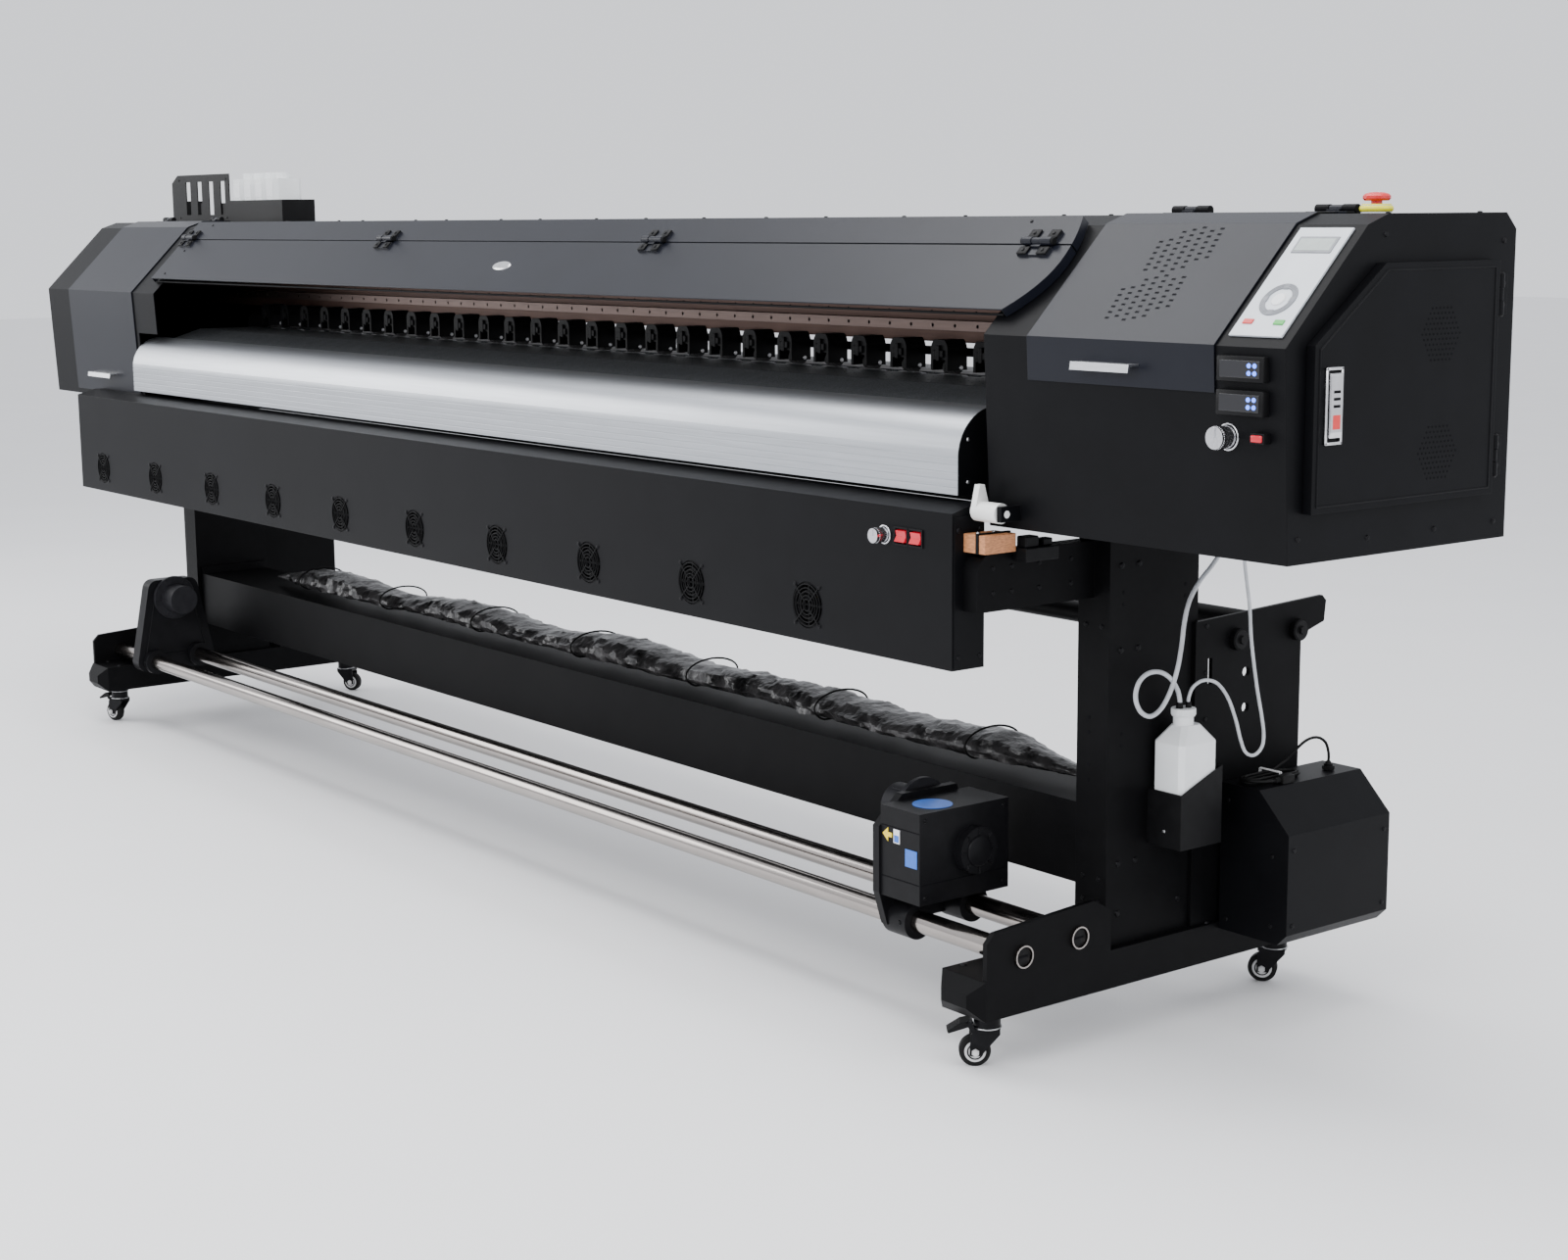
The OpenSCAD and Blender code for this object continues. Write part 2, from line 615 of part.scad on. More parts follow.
// ---- drying duct ----
module drying_duct() {
  y0 = -duct_y;
  y1 = -duct_y + duct_d;
  outline = [[y0, duct_z], [y1, duct_z], [y1, duct_top], [y0 + 48, duct_top], [y0, duct_top - 13]];
  color([0.13, 0.13, 0.14]) difference() {
    span_x(duct_x0, duct_x1) polygon(outline);
    span_x(duct_x0 + 4, duct_x1 - 4) polygon(inset(outline, sheet));
    for (i = [0:n_fan - 1]) rod_y(y0 - 1, y0 + 10, fan_x0 + i * fan_pitch, fan_z, fan_r);
    for (x = ROCKERS) block([x - 13, y0 - 1, rocker_z - 12], [x + 13, y0 + 10, rocker_z + 12]);
    rod_y(y0 - 1, y0 + 10, duct_knob_at.x, duct_knob_at.y, duct_knob_r + run_gap);
    for (z = [duct_z + 60, duct_z + 200]) rod_x(duct_x1 - 6, duct_x1 + 1, y0 + 40, z, 9);
  }
}
module fan_units() {
  y0 = -duct_y + sheet;
  half = fan_r + 6;
  color([0.07, 0.07, 0.08]) for (i = [0:n_fan - 1]) translate([fan_x0 + i * fan_pitch, 0, fan_z]) {
    difference() {
      block([-half, y0, -half], [half, y0 + 20, half]);
      rod_y(y0 - 1, y0 + 21, 0, 0, fan_r - 4);
    }
    for (a = [0, 90]) rotate([0, a, 0]) block([-fan_r, y0, -2], [fan_r, y0 + 4, 2]);
    for (r = [14, 26]) difference() {
      rod_y(y0, y0 + 4, 0, 0, r);
      rod_y(y0 - 1, y0 + 5, 0, 0, r - 4);
    }
  }
}
module duct_knob() {
  x = duct_knob_at.x;
  z = duct_knob_at.y;
  color([0.75, 0.75, 0.76]) {
    rod_y(-duct_y - 26, -duct_y - 0.5, x, z, 12);
    rod_y(-duct_y - 1, -duct_y + 16, x, z, duct_knob_r);
    block([x - 1.5, -duct_y - 27, z], [x + 1.5, -duct_y - 25, z + 11]);
  }
}
module duct_rocker(x) {
  y = -duct_y + 6;
  z = rocker_z;
  color([0.75, 0.05, 0.1]) {
    span_x(x - 12, x + 12) polygon([[y, z - 10], [y + 8, z], [y, z + 10], [y - 9, z + 9], [y - 7, z],
      [y - 12, z - 9]]);
    rod_x(x - 12.8, x + 12.8, y + 4, z, 5);
  }
}

// ---- left cap, long covers, right box ----
// Right edge of the long lid at distance u up the slope: it bulges over the right box
function lid_edge(u) = box_x + 80 - (u < 145 ? 54 * pow((145 - u) / 108, 2) : 16 * pow((u - 145) / 80, 2));
// Lid outline between u0 and u1, with its right edge moved in by t
function lid_outline(u0, u1, t) = concat([[lid_left + t, u1], [lid_left + t, u0]],
  [for (k = [0:8]) let(u = u0 + (u1 - u0) * k / 8) [lid_edge(u) - t, u]]);
module lid_plate(u0, u1) {
  difference() {
    translate([0, 0, 1.5]) linear_extrude(lid_proud - 1.5) polygon(lid_outline(u0, u1, 0));
    linear_extrude(lid_proud - 2.5) polygon(lid_outline(u0 - 1, u1 + 1, 2.5));
  }
}
// Opening under a hood
module hood_window(h, low) {
  block([h[0] + 15, -nose_y - 20, body_z + low + 14], [h[1] - 15, -80, roof_z + 20]);
}
// Room for the girder and the leg below it
module girder_window() {
  block([x_l + 100, column_front - pass_gap, body_z - 1],
    [x_r - 100, column_rear + pass_gap, girder_top + pass_gap]);
}
module left_cap() {
  color([0.1, 0.1, 0.11]) {
    difference() {
      union() {
        housing(x_l, cap_x, cap_low);
        end_wall(x_l, cap_low);
      }
      hood_window(hood_l, hood_low_l);
      girder_window();
      block([cap_x - 118, -guide_y - 8, body_z], [cap_x + 1, -guide_y + shoulder_r + 6, platen_z - 10]);
    }
    translate([0, 0, roof_z]) for (x = [hood_l[0] + 60, hood_l[1] - 60]) hinge_base(x, 60, hood_y, 26);
  }
}
module left_hood() {
  color([0.11, 0.11, 0.12]) {
    hood_skin(hood_l[0], hood_l[1], hood_low_l);
    translate([0, 0, roof_z]) for (x = [hood_l[0] + 60, hood_l[1] - 60])
      hinge_knuckle(x, 60, hood_y, 26, lid_gap);
  }
}
// Folded finger pull, w wide, on the front of a hood at height h above the underside
module pull(x, w, h) {
  t = 3;
  reach = 22;
  lip = 4;
  face = front_at(h) - lid_gap - 2.5;
  root = face - 0.3;
  translate([0, 0, body_z + h]) span_x(x - w / 2, x + w / 2) polygon([[root - 0.4, 2 * lip],
    [face - reach, 2 * lip], [face - reach - 2, -lip], [face - reach + 1, -lip],
    [face - reach + t, 2 * lip - t], [root - 0.3, 2 * lip - t]]);
}
module hood_handle_left() {
  color([0.85, 0.85, 0.86]) pull((hood_l[0] + hood_l[1]) / 2 - 3.5, 150, 74);
}
module hood_handle_right() {
  color([0.85, 0.85, 0.86]) pull(hood_r[0] + 176, 120, 261);
}
// Roof, rear cover and the fixed strip above the long lid
module rear_cover() {
  d = lid_proud / sqrt(2);
  strip_top = [-nose_y + strip_u1 / sqrt(2) - d, body_z + nose_h + strip_u1 / sqrt(2) + d];
  color([0.12, 0.12, 0.13]) {
    span_x(cap_x + pass_gap, box_x - pass_gap) polygon(ribbon([[rear_y, body_z + 256],
      [rear_y, roof_z - rear_chamfer], [rear_y - rear_chamfer, roof_z],
      [-nose_y + (roof_h - nose_h) - 2 * d, roof_z]], -sheet));
    on_slope() lid_plate(lid_u1 + 3, strip_u1 - 1.5);
    on_slope() translate([0, 0, lid_proud]) for (i = [0:3])
      hinge_base(lid_hinge_x(i), lid_hinge_w, lid_hinge_u, 26);
    block([cap_x + pass_gap, rear_y - 18, body_z + 10], [box_x - pass_gap, rear_y - 15, platen_z - 52]);
  }
}
function lid_hinge_x(i) = cap_x - 2 + i * (box_x - cap_x + 10) / 3;
module front_lid() {
  color([0.14, 0.14, 0.16]) on_slope() {
    lid_plate(lid_u0, lid_u1);
    translate([0, 0, lid_proud]) for (i = [0:3])
      hinge_knuckle(lid_hinge_x(i), lid_hinge_w, lid_hinge_u, 26, 0);
  }
}
module right_box() {
  color([0.09, 0.09, 0.1]) {
    difference() {
      union() {
        housing(box_x, x_r, 0);
        end_wall(x_r - sheet, 0);
      }
      hood_window(hood_r, hood_low_r);
      girder_window();
      translate([0, 0, body_z]) span_x(x_r - 10, x_r + 1) polygon(inset(DOOR, 14));
      rod_z(roof_z - 10, roof_z + 1, stop.x, stop.y, stop_r + 1);
    }
    translate([0, 0, roof_z]) for (x = [hood_r[0] + 75, hood_r[1] - 20]) hinge_base(x, 76, hood_y, 26);
    translate([x_r, 0, 0]) rotate([0, 90, 0]) for (h = DOOR_HINGES)
      hinge_base(-body_z - h, 60, door_hinge_y, 24);
    for (g = [hose_a[0], hose_b[0]]) rod_z(body_z - 8, body_z, g.x, g.y, 9);
    difference() {
      block([box_x + 62, lever_y - 12, lever_z - 12], [box_x + 72, front_at(26), lever_z + 12]);
      rod_x(box_x + 61, box_x + 73, lever_y, lever_z, lever_r + run_gap);
    }
  }
}
module right_hood() {
  color([0.11, 0.11, 0.12]) {
    hood_skin(hood_r[0], hood_r[1], hood_low_r);
    translate([0, 0, roof_z]) for (x = [hood_r[0] + 75, hood_r[1] - 20])
      hinge_knuckle(x, 76, hood_y, 26, lid_gap);
  }
}
module side_door() {
  color([0.1, 0.1, 0.11]) {
    translate([0, 0, body_z]) difference() {
      span_x(x_r + lid_gap, x_r + door_t) polygon(DOOR);
      span_x(x_r, x_r + door_t - 2.5) polygon(inset(DOOR, 2.5));
    }
    translate([x_r, 0, 0]) rotate([0, 90, 0]) for (h = DOOR_HINGES)
      hinge_knuckle(-body_z - h, 60, door_hinge_y, 20, 1.2);
  }
}
module door_latch() {
  x = x_r + door_t + 0.6;
  color([0.8, 0.8, 0.8]) span_y(-266, -242) union() {
    polygon([[x, body_z + 180], [x + 6, body_z + 176], [x + 8, body_z + 184], [x + 8, body_z + 262],
      [x, body_z + 262]]);
    translate([x + 4, body_z + 262]) circle(r = 4);
  }
}
module electronics() {
  x = x_r - 104;
  z = body_z + 10;
  color([0.35, 0.4, 0.36]) {
    block([x, -244, z], [x + 3, 120, z + 370]);
    block([x + 3, -230, z + 20], [x + 53, -60, z + 130]);
    block([x + 3, -30, z + 20], [x + 43, 90, z + 130]);
    block([x + 8, -230, z + 160], [x + 11, -20, z + 350]);
    block([x + 8, 10, z + 160], [x + 11, 100, z + 340]);
    for (p = [[-220, 170], [-30, 170], [-220, 340], [-30, 340], [15, 170], [95, 170], [15, 330], [95, 330]])
      rod_x(x + 3, x + 8, p.x, z + p.y, 3);
    for (p = [[-190, 220], [-130, 220], [-70, 270], [-190, 290]])
      block([x + 11, p.x, z + p.y], [x + 17, p.x + 32, z + p.y + 32]);
    for (k = [0:5]) block([x + 11, 20 + 12 * k, z + 290], [x + 25, 29 + 12 * k, z + 305]);
    block([x - 3, -244, z - 7], [x + 30, 120, z]);
  }
}
// Key panel on the slope, two temperature controllers, lamp and stop-button collar
module panel_instruments() {
  x = x_r - 114;
  color([0.85, 0.86, 0.88]) {
    on_slope() block([x, 19, 0], [x + 96, 226, 3]);
    for (h = [256, 209]) span_x(x, x + 81) polygon([[front_at(h), body_z + h],
      [front_at(h + 30), body_z + h + 30], [-nose_y - 5, body_z + h + 29], [-nose_y - 5, body_z + h + 1]]);
    span_x(x + 62, x + 84) polygon([[front_at(170), body_z + 170], [front_at(182), body_z + 182],
      [-nose_y, body_z + 181], [-nose_y, body_z + 171]]);
    difference() {
      rod_z(roof_z, roof_z + 12, stop.x, stop.y, 22);
      rod_z(roof_z - 1, roof_z + 13, stop.x, stop.y, stop_r + run_gap);
    }
  }
}
module box_knob() {
  x = x_r - 105;
  z = body_z + 174;
  color([0.75, 0.75, 0.77]) {
    rod_y(-nose_y - 24, -nose_y + 4, x, z, 16);
    block([x - 2, -nose_y - 26, z], [x + 2, -nose_y - 23, z + 15]);
  }
}
module estop_button() {
  color([0.85, 0.05, 0.05]) {
    rod_z(roof_z - 12, roof_z + 20, stop.x, stop.y, stop_r);
    translate([stop.x, stop.y, roof_z + 18]) rotate_extrude() polygon([[0, 0], [17, 0], [20, 3], [20, 7],
      [17, 10], [10, 12], [0, 12.5]]);
  }
}

// ---- ink supply ----
module ink_rack() {
  x0 = x_l + 8;
  x1 = x0 + 380;
  x2 = x1 + 325;
  y0 = 46;
  y1 = 142;
  color([0.07, 0.07, 0.08]) {
    difference() {
      span_y(y0, y0 + 3) polygon([[x0, roof_z], [x1, roof_z], [x1, roof_z + 132], [x0 + 40, roof_z + 132],
        [x0, roof_z + 110]]);
      for (k = [0:3]) translate([x0 + 95 + 76 * k, y0 - 1, roof_z + 20]) cube([30, 5, 92]);
    }
    block([x0, y0 + 3, roof_z], [x0 + 3, y1, roof_z + 60]);
    block([x0, y0 + 3, roof_z], [x1, y1, roof_z + 3]);
    difference() {
      block([x1, y0, roof_z], [x2, y1, roof_z + 58]);
      block([x1 + 3, y0 + 3, roof_z + 3], [x2 - 3, y1 - 3, roof_z + 59]);
    }
  }
}
module ink_bottles() {
  x0 = x_l + 394;
  z0 = roof_z + 3;
  color([0.93, 0.93, 0.92]) for (k = [0:3]) {
    difference() {
      bevel_block([x0 + ink_pitch * k, 52, z0], [x0 + ink_w + ink_pitch * k, 136, z0 + 112], 12);
      bevel_block([x0 + ink_pitch * k + 2.5, 54.5, z0 + 2.5],
        [x0 + ink_w - 2.5 + ink_pitch * k, 133.5, z0 + 109.5], 11);
      rod_z(z0 + 100, z0 + 113, x0 + ink_w / 2 + ink_pitch * k, 94, 12);
    }
    rod_z(z0 + 112, z0 + 128, x0 + ink_w / 2 + ink_pitch * k, 94, 19);
  }
}

// ---- rear feed, side boxes ----
module feed_plate(x0) {
  z = body_z;
  y0 = column_rear - 12;
  x1 = x0 + feed_plate_t;
  difference() {
    span_x(x0, x1) polygon([[y0, foot_top], [344, foot_top], [344, z - 240], [404, z - 222],
      [408, z - 186], [398, z - 176], [y0, z - 190]]);
    for (t = REAR_TUBES) rod_x(x0 - 1, x1 + 1, t.x, t.y, tube_r + run_gap);
    for (h = [z - 289, z - 351]) rod_x(x0 - 1, x1 + 1, 205, h, 9);
    block([x0 - 1, 110, z - 300], [x1 + 1, 120, z - 255]);
  }
}
module rear_feed_frame() {
  color([0.1, 0.1, 0.11]) {
    feed_plate(leg_xr + column_w / 2);
    feed_plate(leg_xl - column_w / 2 - feed_plate_t);
  }
  color([0.6, 0.58, 0.56]) for (t = REAR_TUBES)
    rod_x(leg_xl - column_w / 2 - 20, leg_xr + column_w / 2 + 20, t.x, t.y, tube_r);
}
module aux_box() {
  outline = [[aux[0], aux_z[0]], [aux[1] - 20, aux_z[0]], [aux[1], aux_z[0] + 20],
    [aux[1], aux_z[1] - aux_c], [aux[1] - aux_c, aux_z[1]], [aux[0], aux_z[1]]];
  color([0.1, 0.1, 0.11]) {
    difference() {
      span_y(aux_y[0], aux_y[1]) polygon(outline);
      span_y(aux_y[0] + sheet, aux_y[1] - sheet) polygon(inset(outline, sheet));
    }
    difference() {
      rod_z(aux_z[1], aux_z[1] + 12, lead[0].x, lead[0].y, 8);
      rod_z(aux_z[1] + 2, aux_z[1] + 13, lead[0].x, lead[0].y, lead_r + 1);
    }
  }
}
module bottle_holder() {
  y0 = -22;
  y1 = 76;
  color([0.09, 0.09, 0.1]) difference() {
    span_x(holder[0], holder[1]) polygon([[y0, 325], [y1, 325], [y1, 458], [y0, 418]]);
    block([holder[0] + 2.5, y0 + 2.5, 327.5], [holder[1] - 2.5, y1 - 2.5, 470]);
  }
}
module waste_bottle() {
  x0 = holder[0] + 4;
  x1 = holder[1] - 4;
  color([0.95, 0.95, 0.95]) difference() {
    union() {
      hull() {
        bevel_block([x0, -18, 327.5], [x1, 70, 500], 8);
        bevel_block([x0 + 16, 4, 527], [x1 - 16, 48, 528], 8);
      }
      rod_z(527, 545, holder[0] + 38, 20, 17);
      rod_z(545, hose_a[len(hose_a) - 1].z, holder[0] + 38, 20, 20);
    }
    rod_z(333, 480, holder[0] + 38, 20, 24);
  }
}

// ---- cords ----
// One closed tube of radius r along the points p
module tube_along(p, r, sides) {
  n = len(p);
  rings = [for (i = [0:n - 1]) let(t = unit(p[min(i + 1, n - 1)] - p[max(i - 1, 0)]),
    u = unit([1, 0, 0] - t.x * t), v = cross(t, u))
    for (k = [0:sides - 1]) p[i] + r * (cos(360 * k / sides) * u + sin(360 * k / sides) * v)];
  faces = concat([[for (k = [0:sides - 1]) k]],
    [for (i = [0:n - 2]) for (k = [0:sides - 1]) let(a = i * sides + k, b = i * sides + (k + 1) % sides)
      [a, a + sides, b + sides, b]],
    [[for (k = [sides - 1:-1:0]) (n - 1) * sides + k]]);
  polyhedron(rings, faces);
}
module waste_hose() {
  color([0.8, 0.8, 0.82]) tube_along(hose_a, 4, 10);
}
module return_hose() {
  color([0.75, 0.75, 0.77]) tube_along(hose_b, 3, 8);
}
module aux_lead() {
  color([0.05, 0.05, 0.05]) tube_along(lead, lead_r, 8);
}
module aux_lead_hank() {
  color([0.05, 0.05, 0.05]) translate([hank.x, hank.y, aux_z[1]]) linear_extrude(hank_size.z) {
    square([hank_size.x, hank_size.y], center = true);
    for (s = [-1, 1]) translate([0, hank_size.y / 2 * s]) circle(r = hank_size.x / 2);
  }
}
module aux_lead_plug() {
  color([0.06, 0.06, 0.06]) block([1798, 190, aux_z[1]], [1818, 232, aux_z[1] + 16]);
}

// ---- take-up ----
module takeup_drive() {
  x = drive_x;
  color([0.08, 0.08, 0.09]) difference() {
    union() {
      for (t = [tube_f, tube_b]) rod_x(x, x + 60, t.x, t.y, tube_r + 13);
      span_x(x, x + 16) polygon([[-352, 180], [-165, 180], [-165, 300], [-196, 402], [-318, 402], [-370, 354],
        [-370, 240]]);
      block([x + 16, -366, 236], [x + 16 + drive_len, -168, 392]);
      rod_x(x + 16 + drive_len, x + 34 + drive_len, -250, 316, 40);
    }
    for (t = [tube_f, tube_b]) rod_x(x - 1, x + 61, t.x, t.y, tube_r + run_gap);
    rod_x(x - 1, x + 50, -spool_y, spool_z, spindle_r + run_gap);
  }
}
module drive_flange() {
  x = drive_x - 1;
  color([0.25, 0.25, 0.27]) {
    rod_x(x - 9, x, -spool_y, spool_z, 58);
    rod_x(x - 9 - core_len, x - 9, -spool_y, spool_z, core_r);
    rod_x(x, x + 46, -spool_y, spool_z, spindle_r);
  }
}
module takeup_idler() {
  x = idler_x;
  color([0.08, 0.08, 0.09]) difference() {
    union() {
      for (t = [tube_f, tube_b]) rod_x(x, x + 60, t.x, t.y, tube_r + 13);
      span_x(x, x + 40) hull() {
        for (p = [[-340, 190], [-172, 190], [-212, 384], [-302, 384]]) translate(p) circle(r = 26, $fn = 32);
      }
    }
    for (t = [tube_f, tube_b]) rod_x(x - 1, x + 61, t.x, t.y, tube_r + run_gap);
    rod_x(x - 1, x + 41, -spool_y, spool_z, spindle_r + run_gap);
  }
}
module idler_flange() {
  x = idler_x + 41;
  color([0.25, 0.25, 0.27]) {
    rod_x(x, x + 9, -spool_y, spool_z, 58);
    rod_x(x + 9, x + 9 + core_len, -spool_y, spool_z, core_r);
    rod_x(x - 38, x, -spool_y, spool_z, spindle_r);
  }
}

leg_left();
leg_right();
cross_beam();
takeup_tubes();
caster_fork(0);  // caster_fork_fl
caster_fork(1);  // caster_fork_fr
caster_fork(2);  // caster_fork_rl
caster_fork(3);  // caster_fork_rr
caster_wheel(0);  // caster_wheel_fl
caster_wheel(1);  // caster_wheel_fr
caster_wheel(2);  // caster_wheel_rl
caster_wheel(3);  // caster_wheel_rr
brake_pedal(0);  // brake_pedal_l
brake_pedal(1);  // brake_pedal_r
base_girder();
side_frames();
front_guide();
platens();
feed_shaft();
pinch_arms();
pinch_wheels();
pinch_lever();
main_beam();
guide_rail();
carriage();
capping_station();
drying_duct();
fan_units();
duct_knob();
duct_rocker(ROCKERS[0]);  // duct_rocker_left
duct_rocker(ROCKERS[1]);  // duct_rocker_right
left_cap();
left_hood();
hood_handle_left();
rear_cover();
front_lid();
right_box();
right_hood();
hood_handle_right();
side_door();
door_latch();
electronics();
panel_instruments();
box_knob();
estop_button();
ink_rack();
ink_bottles();
rear_feed_frame();
aux_box();
bottle_holder();
waste_bottle();
waste_hose();
return_hose();
aux_lead();
aux_lead_hank();
aux_lead_plug();
takeup_drive();
takeup_idler();
drive_flange();
idler_flange();
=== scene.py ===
"""Wide-format roll-to-roll printer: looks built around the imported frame."""
import json
import math

import bmesh
import bpy
from bpy.props import FloatProperty, FloatVectorProperty, IntProperty, PointerProperty
from mathutils import Matrix, Vector, noise


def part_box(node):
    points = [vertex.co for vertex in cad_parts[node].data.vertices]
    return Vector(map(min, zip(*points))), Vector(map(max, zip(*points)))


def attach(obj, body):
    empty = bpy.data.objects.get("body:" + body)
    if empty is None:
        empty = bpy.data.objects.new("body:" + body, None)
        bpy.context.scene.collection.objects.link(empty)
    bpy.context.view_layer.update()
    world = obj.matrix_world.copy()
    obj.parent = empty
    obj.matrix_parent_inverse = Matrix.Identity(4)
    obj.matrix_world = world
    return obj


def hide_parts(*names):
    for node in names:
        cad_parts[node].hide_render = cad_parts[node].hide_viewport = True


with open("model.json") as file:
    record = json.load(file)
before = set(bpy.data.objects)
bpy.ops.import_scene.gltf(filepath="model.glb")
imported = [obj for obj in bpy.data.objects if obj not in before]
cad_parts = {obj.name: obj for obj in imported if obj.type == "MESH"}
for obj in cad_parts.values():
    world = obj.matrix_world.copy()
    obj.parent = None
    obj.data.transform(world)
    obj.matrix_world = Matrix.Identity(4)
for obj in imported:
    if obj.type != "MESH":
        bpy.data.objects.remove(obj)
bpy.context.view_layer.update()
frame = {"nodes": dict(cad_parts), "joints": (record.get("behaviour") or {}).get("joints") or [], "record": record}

bl_info = {
    "name": "Wide-format printer",
    "version": (1, 0, 0),
    "blender": (4, 5, 0),
    "location": "View3D > Sidebar > Printer",
    "description": "Finishes and fine detail of a castored roll-to-roll printer",
    "category": "Object",
}

NODES = frame["nodes"]
AXIS = {joint["name"]: Vector(joint["pos_m"]) for joint in frame["joints"] if "pos_m" in joint}
LO = {node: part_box(node)[0] for node in NODES}
HI = {node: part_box(node)[1] for node in NODES}
X, Y, Z = Vector((1, 0, 0)), Vector((0, 1, 0)), Vector((0, 0, 1))

ROOF = LO["ink_rack"].z
NOSE = Vector((0, LO["left_cap"].y, ROOF - 0.181))
END = AXIS["side_door_open"].x - 0.007
BOX = LO["right_box"].x
CAP = HI["left_cap"].x
LEG_R = HI["cross_beam"].x + 0.036
LEG_L = LO["cross_beam"].x - 0.036
COLUMN_FRONT, COLUMN_REAR = -0.117, 0.091
BODY_Z = LO["right_box"].z + 0.008
SLOPE = Matrix.Translation(NOSE) @ Matrix.Rotation(math.radians(45), 4, "X")
SLOPE_OUT = (SLOPE.to_3x3() @ Z).normalized()
FRONT_LOW, FRONT_LEAN, FRONT_HEIGHT = -0.320, 0.015, 0.301
FRONT_TUBE, REAR_TUBE = (-0.319, 0.190), (-0.195, 0.198)

# ---------------------------------------------------------------- settings


class PrinterColours(bpy.types.PropertyGroup):
    """Colours of the finishes, as linear values"""

    cover: FloatVectorProperty(name="Cover paint", description="Smooth paint of lids and covers",
                               subtype="COLOR", default=(0.0055, 0.0064, 0.0108))
    cabinet: FloatVectorProperty(name="Cabinet paint", description="Paint of the end cabinets and duct",
                                 subtype="COLOR", default=(0.0028, 0.0029, 0.0036))
    stand: FloatVectorProperty(name="Stand paint", description="Textured powder coat of the stand",
                               subtype="COLOR", default=(0.0024, 0.0024, 0.0028))
    guide: FloatVectorProperty(name="Guide", description="Anodised aluminium of the sheet guide",
                               subtype="COLOR", default=(0.5, 0.52, 0.55))
    brown: FloatVectorProperty(name="Insulating block", description="Pressed laminate block on the arm",
                               subtype="COLOR", default=(0.45, 0.19, 0.08))
    hose: FloatVectorProperty(name="Hoses", description="Silicone tube",
                              subtype="COLOR", default=(0.55, 0.57, 0.6))
    rocker: FloatVectorProperty(name="Rockers", description="Lit red switches",
                                subtype="COLOR", default=(0.5, 0.006, 0.02))


class PrinterSizes(bpy.types.PropertyGroup):
    """Sizes of the fine detail"""

    screw: FloatProperty(name="Screw head", description="Radius of a cover screw's head",
                         unit="LENGTH", default=0.0045)
    vent_rows: IntProperty(name="Vent rows", description="Slots in one column of a hood vent", default=8)
    vent_pitch: FloatProperty(name="Vent pitch", description="Distance between vent slots",
                              unit="LENGTH", default=0.0115)
    hose_a: FloatProperty(name="Waste hose", description="Outside diameter of the waste hose",
                          unit="LENGTH", default=0.008)
    hose_b: FloatProperty(name="Return hose", description="Outside diameter of the return hose",
                          unit="LENGTH", default=0.006)
    lead: FloatProperty(name="Lead", description="Outside diameter of the tied lead",
                        unit="LENGTH", default=0.005)


# ---------------------------------------------------------------- finishes


def nodes_of(material):
    """A material's node tree and its shader."""
    material.use_nodes = True
    tree = material.node_tree
    shader = tree.nodes["Principled BSDF"]
    return tree, shader


